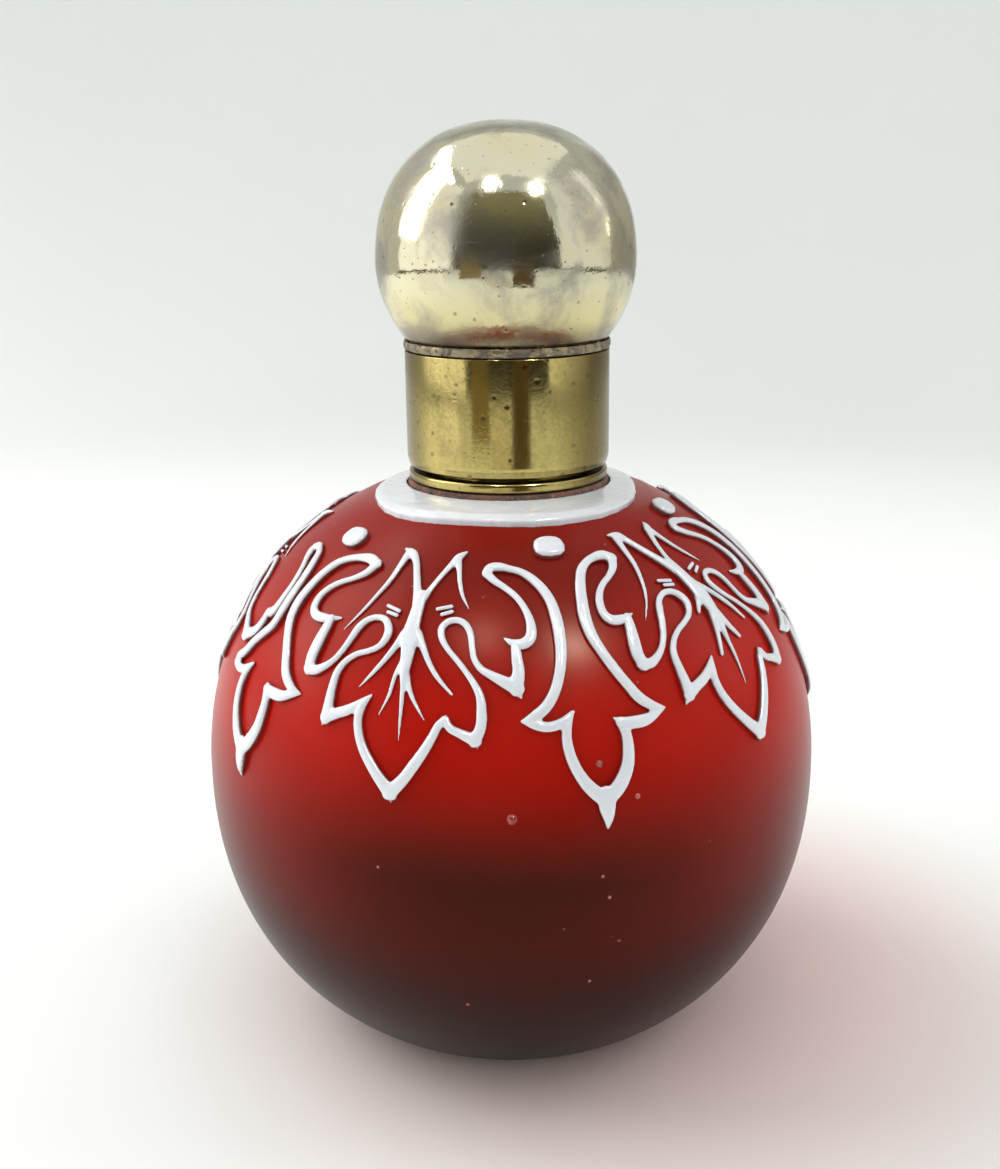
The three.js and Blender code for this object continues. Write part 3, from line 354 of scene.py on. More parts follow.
# Screens round the bottle: name, glow, first and last azimuth, foot, top and distance in metres
SCREENS = (
    ("tent_opening", "dim_room", -46, 46, 0.045, 0.42, 0.3),
    ("tent_right", "grey_wall", 100, 158, 0.035, 0.42, 0.3),
    ("tent_white", "white_wall", 46, 100, 0.046, 0.42, 0.3),
    ("tent_lit", "lit_wall", -80, -46, 0.046, 0.42, 0.3),
    ("tent_lit_foot", "lit_wall", -104, -80, 0.046, 0.12, 0.3),
    ("tent_left", "pale_wall", -160, -104, 0.035, 0.4, 0.3),
    ("right_edge", "tent_edge", 44, 112, 0.034, 0.046, 0.3),
    ("left_edge", "tent_edge", -112, -44, 0.034, 0.046, 0.3),
    ("left_leg", "pale_leg", -40, -18.5, 0.03, 0.08, 0.19),
    ("right_leg", "stand_leg", 3.5, 25, 0.0, 0.08, 0.19),
    ("left_glow", "floor_glow", -82, -52, 0.0, 0.048, 0.19),
    ("middle_glow", "floor_calm", -18.5, 3.5, 0.0, 0.048, 0.19),
)

# How much narrower a screen is at its top
SCREEN_NARROWING = 0.22

# Backdrop: radius of the flat floor, depth of the bend and height, as shares of its radius
FLOOR_SHARE = 0.3
BEND_SHARE = 0.45
WALL_SHARE = 1.1
BEND_STEPS = 12
BACKDROP_STEPS = 96

# Camera: place in metres, pitch and roll in degrees
CAMERA_PLACE = (0, -0.14192, 0.08657)
CAMERA_PITCH = 73.91
CAMERA_ROLL = -0.62
CAMERA_SHIFT = -0.0096
SENSOR_WIDTH = 36


def length(name, note, default, low, high):
    """A setting in millimetres, kept in metres."""
    return FloatProperty(
        name=name, description=note, default=default * MM, min=low * MM, max=high * MM,
        subtype="DISTANCE", unit="LENGTH")


def count(name, note, default, low, high):
    """A setting in whole numbers."""
    return IntProperty(name=name, description=note, default=default, min=low, max=high)


def power(name, note, default):
    """A lamp's power in watts."""
    return FloatProperty(
        name=name, description=note, default=default, min=0, max=100, unit="POWER")


def colour(name, note, red, green, blue):
    """A surface colour, given as it shows on screen from 0 to 255."""
    def linear(value):
        share = value / 255
        return share / 12.92 if share <= 0.04045 else ((share + 0.055) / 1.055) ** 2.4
    return FloatVectorProperty(
        name=name, description=note, subtype="COLOR", size=4, min=0.0, max=1.0,
        default=(linear(red), linear(green), linear(blue), 1.0))


class ScentGlassSettings(PropertyGroup):
    """Sizes and colours of the glass."""

    wall: length("Wall", "Thickness of the globe's wall", 3.6, 1, 8)
    floor: length("Floor", "Thickness of the glass under the hollow", 5, 1, 12)
    base_round: length(
        "Base edge", "Rounding of the edge that the bottle stands on", 0.8, 0.1, 2)
    steps: count("Steps", "Steps of a turned piece round its axis", 128, 32, 256)
    # The ruby reds hold painted light: the bright red is a painted glow of light through the glass,
    # and the deep and foot reds are painted shade low on the globe
    ruby_painted_glow: colour("Ruby, bright", "Red of the globe's upper half", 216, 17, 1)
    ruby_crown: colour("Ruby, crown", "Duller red under the border", 134, 19, 9)
    ruby_painted_shade: colour("Ruby, deep", "Red-brown low on the globe", 80, 8, 4)
    ruby_foot_shadow: colour("Ruby, foot", "Near-black red at the foot", 24, 9, 8)
    blister: colour("Blisters", "Paler red of the small blisters", 190, 104, 92)
    white: colour("White overlay", "Cool white of the border and disc", 228, 231, 237)
    # The edge colour is painted shade and a painted red reflection on the sides of the strokes, and
    # a faint tint in the white's uneven patches
    white_patch_and_side_shade: colour("White overlay, edge", "Tint where the white grows thin", 116, 66, 64)


class ScentReliefSettings(PropertyGroup):
    """Sizes of the raised white overlay."""

    grain: length("Grain", "Cell size that the carved shapes are rounded with", 0.12, 0.1, 0.5)
    rounds: count("Rounds", "Times that the carved edges are softened", 7, 0, 30)
    sink: length("Sink", "How far the overlay's foot reaches into the globe", 0.35, 0, 1)
    swell: length("Swell", "Fullness given back to the softened shapes", 0.03, 0, 0.3)
    height: length(
        "Height", "Height of the flat-topped strokes over the globe", 0.66, 0.1, 2)
    rise: FloatProperty(
        name="Rise", description="How far a stroke's middle is lifted, as a share of its half width",
        default=0.45, min=0.0, max=1.0, subtype="FACTOR")
    stroke_rounds: count("Stroke rounds", "Times that the drawn strokes are softened", 3, 0, 30)
    tick_width: length(
        "Tick width", "Width of the short strokes beside each stem", 0.42, 0.1, 1)


class ScentMetalSettings(PropertyGroup):
    """Colours of the metal, cement and cork."""

    silver: colour("Silver plate", "Pale silver of the ball", 216, 212, 188)
    champagne: colour("Silver plate, worn", "Warmer tint low on the ball", 214, 203, 152)
    tarnish: colour("Tarnish", "Lilac-grey film on the plate", 138, 131, 130)
    brass: colour("Brass", "Gold of the sleeve, flange and thread", 206, 188, 118)
    # The dull brass is the olive film, and is also painted as shade on the sleeve's left and right
    # sides
    brass_film_and_side_shade: colour("Brass, dull", "Olive film on the brass", 92, 78, 44)
    solder: colour("Solder", "Grey-brown of the seam under the ball", 150, 138, 112)
    cement: colour("Cement", "Reddish brown of the cement", 128, 80, 58)
    cork: colour("Cork", "Brown of the washer in the cap", 172, 126, 84)


class ScentStageSettings(PropertyGroup):
    """Floor, light and camera."""

    floor: colour("Floor", "Pale ground and backdrop", 240, 241, 238)
    bowl_radius: length("Backdrop", "Radius of the curved backdrop", 620, 300, 3000)
    key_power: power("Key light", "Power of the large lamp on the left", 2.1)
    fill_power: power("Fill light", "Power of the lamp on the right", 0.6)
    top_power: power("Top light", "Power of the lamp overhead", 0.6)
    front_power: power("Front light", "Power of the lamp that lights the floor in front", 0.25)
    spot_power: power("Small lights", "Power of each small lamp overhead", 1.5)
    world_strength: FloatProperty(
        name="World", description="Strength of the light from all round",
        default=0.62, min=0, max=3)
    lens: FloatProperty(
        name="Lens", description="Focal length of the camera in millimetres",
        default=50.4, min=10, max=200)


def deselect():
    """Leave edit mode and clear the selection."""
    if bpy.context.object and bpy.context.object.mode != "OBJECT":
        bpy.ops.object.mode_set(mode="OBJECT")
    bpy.ops.object.select_all(action="DESELECT")


def take(*pieces):
    """Select the given objects alone and make the first one active."""
    deselect()
    for piece in pieces:
        piece.select_set(True)
    bpy.context.view_layer.objects.active = pieces[0]


def edit_all(piece):
    """Open edit mode on one object with all of its mesh selected."""
    take(piece)
    bpy.ops.object.mode_set(mode="EDIT")
    bpy.ops.mesh.select_all(action="SELECT")


def bake_place():
    """Put the active object's place, turn and scale into its mesh."""
    bpy.ops.object.transform_apply(location=True, rotation=True, scale=True)


def name_piece(piece, name):
    """Name an object and its mesh."""
    piece.name = name
    piece.data.name = name


def joined(pieces, name):
    """One piece made of several."""
    take(*pieces)
    bpy.ops.object.join()
    piece = bpy.context.object
    name_piece(piece, name)
    return piece


def turned_size(box):
    """Radius, foot and top of a turned piece's box, in millimetres."""
    low, high = box
    return high[0] / MM, low[2] / MM, high[2] / MM


def superellipse(radius, semi_axis, corner_power, start, end, steps):
    """Points of a superellipse arc between two angles in degrees."""
    points = []
    for i in range(steps + 1):
        angle = math.radians(start + (end - start) * i / steps)
        across = max(0.0, math.cos(angle)) ** (2 / corner_power)
        along = max(0.0, math.sin(angle)) ** (2 / corner_power)
        points.append((radius * across, semi_axis * along))
    return points


def angle_at_radius(radius, full_radius, corner_power):
    """The arc's angle in degrees where it reaches a radius."""
    return math.degrees(math.acos((radius / full_radius) ** (corner_power / 2)))


def angle_at_height(height, semi_axis, corner_power):
    """The arc's angle in degrees where it reaches a height."""
    return math.degrees(math.asin((height / semi_axis) ** (corner_power / 2)))


def over_centre(arc, centre):
    """An arc's points as a profile over a centre's height."""
    return [(radius, centre + height) for radius, height in arc]


def under_centre(arc, centre):
    """An arc's points as a profile under a centre's height."""
    return [(radius, centre - height) for radius, height in arc]


def eased(corners, steps=4):
    """A profile whose corners (radius, height, round) are rounded off."""
    profile = []
    for i, corner in enumerate(corners):
        here = Vector(corner[:2])
        reach = corner[2] if len(corner) > 2 else 0
        if not reach:
            profile.append(tuple(here))
            continue
        before = (Vector(corners[i - 1][:2]) - here).normalized() * reach
        after = (Vector(corners[(i + 1) % len(corners)][:2]) - here).normalized() * reach
        for step in range(steps + 1):
            share = step / steps
            bend = here + before * (1 - share) ** 2 + after * share ** 2
            profile.append(tuple(bend))
    return profile


def turned_piece(name, profile, steps):
    """A piece turned on the bottle's axis from a profile in millimetres."""
    points = [Vector((radius, 0, height)) * MM for radius, height in profile]
    deselect()
    bpy.ops.mesh.primitive_plane_add(size=MM, location=points[0])
    piece = bpy.context.object
    name_piece(piece, name)
    bake_place()
    bpy.ops.object.mode_set(mode="EDIT")
    bpy.ops.mesh.select_mode(type="VERT")
    bpy.ops.mesh.select_all(action="SELECT")
    bpy.ops.mesh.merge(type="CENTER")
    for start, end in zip(points, points[1:]):
        bpy.ops.mesh.extrude_vertices_move(TRANSFORM_OT_translate={"value": end - start})
    bpy.ops.mesh.select_all(action="SELECT")
    bpy.ops.mesh.remove_doubles(threshold=JOIN_DISTANCE)
    bpy.ops.mesh.select_all(action="SELECT")
    bpy.ops.mesh.spin(
        steps=steps, angle=WHOLE_TURN, center=(0, 0, 0), axis=(0, 0, 1), use_auto_merge=True)
    bpy.ops.mesh.select_all(action="SELECT")
    bpy.ops.mesh.remove_doubles(threshold=JOIN_DISTANCE)
    bpy.ops.mesh.normals_make_consistent(inside=False)
    bpy.ops.object.mode_set(mode="OBJECT")
    bpy.ops.object.shade_smooth_by_angle(angle=SMOOTH_ANGLE)
    return piece


def turned_ring(name, corners, steps, rounding=4):
    """A closed ring turned from rounded corners in millimetres."""
    profile = eased(corners, rounding)
    return turned_piece(name, profile + profile[:1], steps)


def node_copy(node, name):
    """A merged copy of a CAD node's mesh, as a new object."""
    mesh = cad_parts[node].data.copy()
    mesh.materials.clear()
    piece = bpy.data.objects.new(name, mesh)
    bpy.context.scene.collection.objects.link(piece)
    name_piece(piece, name)
    edit_all(piece)
    bpy.ops.mesh.remove_doubles(threshold=JOIN_DISTANCE)
    bpy.ops.object.mode_set(mode="OBJECT")
    return piece


def select_faces(piece, wanted):
    """Select the faces for which wanted(centre, normal) holds, and open edit mode."""
    take(piece)
    bpy.ops.object.mode_set(mode="EDIT")
    bpy.ops.mesh.select_mode(type="FACE")
    bpy.ops.mesh.select_all(action="DESELECT")
    bpy.ops.object.mode_set(mode="OBJECT")
    for face in piece.data.polygons:
        face.select = wanted(face.center, face.normal)
    bpy.ops.object.mode_set(mode="EDIT")


def apply_modifier(piece, kind, **settings):
    """Add a modifier and apply it at once."""
    take(piece)
    modifier = piece.modifiers.new(kind.title(), kind)
    for key, value in settings.items():
        setattr(modifier, key, value)
    bpy.ops.object.modifier_apply(modifier=modifier.name)


def rounded_relief(node, name, relief):
    """A carved piece of the overlay, softened and sunk a little into the globe."""
    piece = node_copy(node, name)

    def underside(middle, normal):
        return normal.dot((middle - GLOBE_MIDDLE).normalized()) < UNDERSIDE

    select_faces(piece, underside)
    shrink = 1 - relief.sink / (GLOBE_RADIUS * MM)
    bpy.ops.transform.resize(value=(shrink,) * 3, center_override=GLOBE_MIDDLE)
    bpy.ops.object.mode_set(mode="OBJECT")
    apply_modifier(piece, "REMESH", mode="VOXEL", voxel_size=relief.grain)
    apply_modifier(piece, "SMOOTH", factor=0.5, iterations=relief.rounds)
    apply_modifier(piece, "DISPLACE", strength=relief.swell, mid_level=0.0)
    bpy.ops.object.shade_smooth()
    return piece


def globe_radius_at(elevation):
    """Radius of the globe's surface from its centre, in millimetres."""
    angle = math.radians(elevation)
    semi_axis, corner_power = (
        (CROWN_SEMI_AXIS, CROWN_POWER) if elevation > 0 else (FOOT_SEMI_AXIS, FOOT_POWER))
    flat = ((math.cos(angle) / GLOBE_RADIUS) ** corner_power
            + (abs(math.sin(angle)) / semi_axis) ** corner_power)
    return flat ** (-1 / corner_power)


def globe_point(azimuth, elevation):
    """A point of the globe's surface in metres; azimuth 0 faces the front."""
    turn = math.radians(azimuth)
    rise = math.radians(elevation)
    reach = globe_radius_at(elevation)
    return Vector((
        reach * math.cos(rise) * math.sin(turn),
        -reach * math.cos(rise) * math.cos(turn),
        GLOBE_CENTRE + reach * math.sin(rise),
    )) * MM


def smooth_share(value, start, end):
    """0 before start, 1 after end, with a soft change between."""
    share = min(1.0, max(0.0, (value - start) / (end - start)))
    return share * share * (3 - 2 * share)


def bud_place(bud):
    """The place of a bud's drawn point on the globe."""
    azimuth, lift, top_lift, left_reach, right_reach = bud

    def placed(across, rise):
        reach = left_reach if across < 0 else right_reach
        share = smooth_share(rise, CURL_REACH_FOOT, CURL_REACH_TOP)
        return (azimuth + across * (1 + (reach - 1) * share), rise + lift + top_lift * share)

    return placed


def leaf_place(leaf, before, after):
    """The place of a leaf's drawn point; its outline runs to the curls beside it."""
    azimuth, lift, lean, left_reach, _veins = leaf

    def stretch(across):
        return across * left_reach if across < 0 else across

    def pull(bud, seat, end):
        turn, rise = bud_place(bud)(*seat)
        offset = turn - azimuth - stretch(end[0])
        return offset - round(offset / 360) * 360, rise - lift - end[1]

    left = pull(before, CURL_SEAT_RIGHT, LEAF_END_LEFT)
    right = pull(after, CURL_SEAT_LEFT, LEAF_END_RIGHT)

    def placed(across, rise):
        side, end = (left, LEAF_END_LEFT) if across < 0 else (right, LEAF_END_RIGHT)
        out = smooth_share(abs(across), LEAF_BLEND_START, abs(end[0]))
        share = out * smooth_share(rise, LEAF_BLEND_FOOT, LEAF_BLEND_TOP)
        turned = lean * smooth_share(rise, LEAN_FOOT, LEAN_TOP) * (1 - out)
        return (azimuth + stretch(across) + turned + side[0] * share,
                rise + lift + side[1] * share)

    return placed


def places_of_leaf(i):
    """The place of the drawn points of one of the leaves."""
    return leaf_place(LEAVES[i], BUDS[i], BUDS[(i + 1) % len(BUDS)])


def smooth_run(knots, steps=6):
    """Points of a smooth curve through the knots of one run."""
    knots = [Vector(knot) for knot in knots]
    points = [knots[0]]
    for i in range(len(knots) - 1):
        start, end = knots[i], knots[i + 1]
        before = knots[i - 1] if i else start * 2 - end
        after = knots[i + 2] if i + 2 < len(knots) else end * 2 - start
        gaps = [math.sqrt((b - a).length) for a, b in
                ((before, start), (start, end), (end, after))]
        middle = (end - start) / gaps[1]
        leave = ((start - before) / gaps[0] - (end - before) / (gaps[0] + gaps[1])
                 + middle) * gaps[1]
        reach = (middle - (after - start) / (gaps[1] + gaps[2])
                 + (after - end) / gaps[2]) * gaps[1]
        for step in range(1, steps + 1):
            t = step / steps
            points.append(
                start * (2 * t ** 3 - 3 * t ** 2 + 1) + leave * (t ** 3 - 2 * t ** 2 + t)
                + end * (3 * t ** 2 - 2 * t ** 3) + reach * (t ** 3 - t ** 2))
    return points


def round_end(end, inner, steps=4):
    """Points that close one end of a stroke with a round cap."""
    (tip, radius), (back, _) = end, inner
    way = (tip - back).normalized()
    cap = []
    for step in range(1, steps + 1):
        angle = math.radians(END_SWEEP * step / steps)
        cap.append((tip + way * radius * math.sin(angle), radius * math.cos(angle)))
    return cap


def corner_point(first, second):
    """The line (place, radius) that draws out the corner between two lines of a stroke."""
    corner, radius = first[-1]
    arrive = (corner - first[-3][0]).normalized()
    leave = (second[2][0] - corner).normalized()
    out = (arrive - leave).normalized()
    half = math.acos(max(-1.0, min(1.0, arrive.dot(leave)))) / 2
    reach = radius * min(CORNER_REACH, 1 / max(CORNER_OPENING, math.cos(half)))
    return [(corner + out * reach * share, radius * (1 - share) + CORNER_TIP * share)
            for share in CORNER_STEPS]


def stroke_lines(runs, placed):
    """Lines of (place, radius) on the globe for one stroke, with a point at each corner."""
    lines = []
    for i, run in enumerate(runs):
        knots = ([runs[i - 1][-1]] if i else []) + list(run)
        drawn = [(*placed(across, rise), width) for across, rise, width in knots]
        lines.append([(globe_point(turn, rise), width * MM / 2 * STROKE_FULLNESS)
                      for turn, rise, width in smooth_run(drawn)])
    lines += [corner_point(first, second) for first, second in zip(lines, lines[1:])]
    return [round_end(line[0], line[1])[::-1] + line + round_end(line[-1], line[-2])
            for line in lines]


def drawn_relief(name, strokes, placed, relief):
    """A raised piece of the overlay, drawn with round strokes and flattened on top."""
    deselect()
    bpy.ops.curve.primitive_bezier_curve_add()
    curve = bpy.context.object.data
    curve.splines.clear()
    curve.dimensions = "3D"
    curve.bevel_depth = 1.0
    curve.bevel_resolution = 3
    curve.use_fill_caps = True
    for runs in strokes:
        for line in stroke_lines(runs, placed):
            spline = curve.splines.new("POLY")
            spline.points.add(len(line) - 1)
            for point, (spot, radius) in zip(spline.points, line):
                out = (spot - GLOBE_MIDDLE).normalized()
                point.co = (*(spot + out * radius * relief.rise), 1)
                point.radius = radius
    bpy.ops.object.convert(target="MESH")
    piece = bpy.context.object
    name_piece(piece, name)
    bake_place()
    edit_all(piece)
    bpy.ops.mesh.normals_make_consistent(inside=False)
    bpy.ops.object.mode_set(mode="OBJECT")
    flatten_on_globe(piece, relief.height)
    apply_modifier(piece, "REMESH", mode="VOXEL", voxel_size=relief.grain)
    apply_modifier(piece, "SMOOTH", factor=0.5, iterations=relief.stroke_rounds)
    bpy.ops.object.shade_smooth()
    return piece


def flatten_on_globe(piece, height):
    """Press a piece down so that it stands no higher over the globe than height."""
    knee = height * KNEE_SHARE
    room = height - knee
    for vertex in piece.data.vertices:
        reach = vertex.co - GLOBE_MIDDLE
        across = math.hypot(reach.x, reach.y)
        rise = math.degrees(math.atan2(reach.z, across))
        surface = globe_radius_at(rise) * MM
        over = reach.length - surface
        if over > knee:
            over = knee + room * math.tanh((over - knee) / room)
            vertex.co = GLOBE_MIDDLE + reach.normalized() * (surface + over)


# Node groups and materials

def feed(tree, node, inputs):
    """Set or link a node's inputs."""
    for key, value in inputs.items():
        if isinstance(value, bpy.types.NodeSocket):
            tree.links.new(value, node.inputs[key])
        else:
            node.inputs[key].default_value = value


def place(tree, kind, inputs=None, **settings):
    """Add a shader node with its settings and inputs."""
    node = tree.nodes.new("ShaderNode" + kind)
    for key, value in settings.items():
        setattr(node, key, value)
    feed(tree, node, inputs or {})
    return node


def reckoned(tree, operation, *values):
    """The result of a Math node."""
    return place(tree, "Math", dict(enumerate(values)), operation=operation).outputs[0]


def vector_node(tree, operation, *values):
    """A Vector Math node."""
    return place(tree, "VectorMath", dict(enumerate(values)), operation=operation)


def between(tree, value, start, end):
    """A mask that grows softly from 0 at start to 1 at end."""
    return place(tree, "MapRange", {"Value": value, "From Min": start, "From Max": end},
                 interpolation_type="SMOOTHSTEP").outputs[0]


def new_group(name, inputs):
    """A node group with a vector and named float inputs, and one mask as its output."""
    group = bpy.data.node_groups.new(name, "ShaderNodeTree")
    group.interface.new_socket("Vector", in_out="INPUT", socket_type="NodeSocketVector")
    for label, value in inputs.items():
        socket = group.interface.new_socket(label, in_out="INPUT", socket_type="NodeSocketFloat")
        socket.default_value = value
    group.interface.new_socket("Mask", in_out="OUTPUT", socket_type="NodeSocketFloat")
    return group, group.nodes.new("NodeGroupInput").outputs, group.nodes.new("NodeGroupOutput")


def clouding_group():
    """Soft uneven patches, such as a film or a cloud in glass."""
    group, given, made = new_group("Clouding", {"Scale": 0.2, "Low": 0.4, "High": 0.6})
    cloud = place(group, "TexNoise", {
        "Vector": given["Vector"], "Scale": given["Scale"],
        "Detail": 5.0, "Roughness": 0.58, "Distortion": 0.4})
    feed(group, made, {
        "Mask": between(group, cloud.outputs["Fac"], given["Low"], given["High"])})
    return group


def pitting_group():
    """Small scattered pits or specks."""
    group, given, made = new_group("Pitting", {"Scale": 2.0, "Size": 0.16, "Share": 0.5})
    warp = place(group, "TexNoise", {
        "Vector": given["Vector"], "Scale": given["Scale"], "Detail": 1.0})
    bent = vector_node(
        group, "MULTIPLY_ADD", warp.outputs["Color"], PIT_BEND, given["Vector"])
    cell = place(group, "TexVoronoi", {
        "Vector": bent.outputs["Vector"], "Scale": given["Scale"]})
    spot = between(group, cell.outputs["Distance"], given["Size"], 0.0)
    chosen = place(group, "SeparateColor", {"Color": cell.outputs["Color"]})
    kept = reckoned(group, "LESS_THAN", chosen.outputs["Red"], given["Share"])
    feed(group, made, {"Mask": reckoned(group, "MULTIPLY", spot, kept)})
    return group


def scratching_group():
    """Fine lines that run one way, such as wiping or turning marks."""
    group, given, made = new_group("Scratching", {"Fineness": 4.0, "Amount": 0.35})
    warp = place(group, "TexNoise", {"Vector": given["Vector"], "Scale": 0.3})
    bent = vector_node(
        group, "MULTIPLY_ADD", warp.outputs["Color"], SCRATCH_BEND, given["Vector"])
    lines = place(group, "TexNoise", {
        "Vector": bent.outputs["Vector"], "Scale": given["Fineness"],
        "Detail": 3.0, "Roughness": 0.7})
    edge = reckoned(group, "MULTIPLY_ADD", -0.3, given["Amount"], 0.75)
    feed(group, made, {"Mask": between(group, lines.outputs["Fac"], edge, 0.85)})
    return group


GROUP_MAKERS = {
    "Clouding": clouding_group,
    "Pitting": pitting_group,
    "Scratching": scratching_group,
}


def effect(tree, kind, vector, **values):
    """Place a shared effect in a material and return its mask."""
    group = bpy.data.node_groups.get(kind) or GROUP_MAKERS[kind]()
    node = place(tree, "Group", node_tree=group)
    feed(tree, node, {"Vector": vector, **values})
    return node.outputs["Mask"]


def new_material(name):
    """A material with a Principled shader and Object coordinates in millimetres."""
    material = bpy.data.materials.new(name)
    material.use_nodes = True
    tree = material.node_tree
    coords = place(tree, "TexCoord")
    mm = stretched(tree, coords.outputs["Object"], (1 / MM,) * 3)
    return material, tree, tree.nodes["Principled BSDF"], mm


def stretched(tree, vector, scale):
    """The coordinates stretched by a scale along each axis."""
    return place(tree, "Mapping", {"Vector": vector, "Scale": scale}).outputs["Vector"]


def axis_of(tree, vector, axis):
    """One axis of the coordinates."""
    return place(tree, "SeparateXYZ", {"Vector": vector}).outputs[axis]


def blended(tree, share, first, second):
    """A colour between two colours."""
    return place(tree, "Mix", {0: share, 6: first, 7: second}, data_type="RGBA").outputs[2]


def larger(tree, first, second):
    """The larger of two masks."""
    return reckoned(tree, "MAXIMUM", first, second)


def scaled(tree, value, factor):
    """A mask times a factor."""
    return reckoned(tree, "MULTIPLY", value, factor)


def summed(tree, first, second):
    """Two masks added."""
    return reckoned(tree, "ADD", first, second)


def ranged(tree, value, low, high):
    """A mask spread over the range from low to high."""
    return place(tree, "MapRange", {"Value": value, "To Min": low, "To Max": high}).outputs[0]


def bumped(tree, height, distance):
    """A normal from a height; the distance is in millimetres."""
    return place(tree, "Bump", {
        "Height": height, "Distance": distance * MM, "Strength": 1.0}).outputs["Normal"]


def ruby_glass_material(name, scene):
    """Satin ruby glass with fine specks. Its colour holds painted light: a painted glow of light
    through the glass makes it bright red above, and painted shade makes it darker to the foot.
    """
    glass = scene.scent_glass
    material, tree, shader, mm = new_material(name)
    cloud = effect(tree, "Clouding", mm, Scale=0.04, Low=0.1, High=0.9)
    level = reckoned(tree, "MULTIPLY_ADD", cloud, 2.0, axis_of(tree, mm, "Z"))
    tone = glass.ruby_foot_shadow
    # Painted shade low on the globe, a painted glow of light through the glass in the middle band,
    # and a duller red at the crown
    for start, end, tint in (
        (4.0, 26.0, glass.ruby_painted_shade),
        (27.5, 41.5, glass.ruby_painted_glow),
        (43.0, 56.0, glass.ruby_crown),
    ):
        tone = blended(tree, between(tree, level, start, end), tone, tint)
    # Painted glow: where the globe turns away from the view, its middle heights are brightened
    # towards the glowing red
    facing = place(tree, "LayerWeight", {"Blend": 0.5}).outputs["Facing"]
    side = scaled(tree, between(tree, facing, 0.1, 0.5), between(tree, level, 15.0, 36.0))
    tone = blended(tree, scaled(tree, side, 0.45), tone, glass.ruby_painted_glow)
    specks = effect(tree, "Pitting", mm, Scale=0.45, Size=0.07, Share=0.2)
    wear = effect(tree, "Clouding", mm, Scale=0.05, Low=0.2, High=0.8)
    feed(tree, shader, {
        "Base Color": blended(tree, scaled(tree, specks, 0.5), tone, GLASS_SPECK),
        "Roughness": ranged(tree, wear, 0.28, 0.32),
        "IOR": 1.3,
        "Specular IOR Level": 0.3,
        "Specular Tint": (1.0, 0.75, 0.55, 1),
        "Transmission Weight": 0.45,
        "Normal": bumped(tree, scaled(tree, specks, -1.0), 0.004),
    })
    return material


def blister_material(name, scene):
    """Paler glossy glass of the small blisters."""
    glass = scene.scent_glass
    material, tree, shader, mm = new_material(name)
    cloud = effect(tree, "Clouding", mm, Scale=0.9, Low=0.3, High=0.7)
    feed(tree, shader, {
        "Base Color": blended(tree, cloud, glass.ruby_crown, glass.blister),
        "Roughness": ranged(tree, cloud, 0.12, 0.25),
    })
    return material


def white_glass_material(name, scene):
    """Glossy opaque white glass, a little uneven, with painted shade and a painted red reflection on
    the sides of its strokes.
    """
    glass = scene.scent_glass
    material, tree, shader, mm = new_material(name)
    cloud = effect(tree, "Clouding", mm, Scale=0.25, Low=0.35, High=0.75)
    bits = effect(tree, "Pitting", mm, Scale=0.8, Size=0.07, Share=0.3)
    tone = blended(tree, scaled(tree, cloud, 0.06), glass.white, glass.white_patch_and_side_shade)
    tone = blended(tree, scaled(tree, bits, 0.3), tone, WHITE_FLECK)
    # Painted shade and red reflection: faces that turn aside from the globe's outward way, the sides
    # of the strokes, take the edge colour
    reach = vector_node(tree, "SUBTRACT", mm, (0, 0, GLOBE_CENTRE))
    out = vector_node(tree, "NORMALIZE", reach.outputs["Vector"])
    normal = place(tree, "NewGeometry").outputs["Normal"]
    facing = vector_node(tree, "DOT_PRODUCT", out.outputs["Vector"], normal)
    top = between(tree, facing.outputs["Value"], 0.1, 0.7)
    ripple = effect(tree, "Clouding", mm, Scale=0.5, Low=0.2, High=0.8)
    feed(tree, shader, {
        "Base Color": blended(tree, top, glass.white_patch_and_side_shade, tone),
        "Roughness": ranged(tree, cloud, 0.12, 0.24),
        "IOR": 1.52,
        "Subsurface Weight": 0.25,
        "Subsurface Radius": (1.0, 0.7, 0.6),
        "Subsurface Scale": 0.5 * MM,
        "Coat Weight": 0.5,
        "Coat Roughness": 0.06,
        "Normal": bumped(tree, ripple, 0.08),
    })
    return material


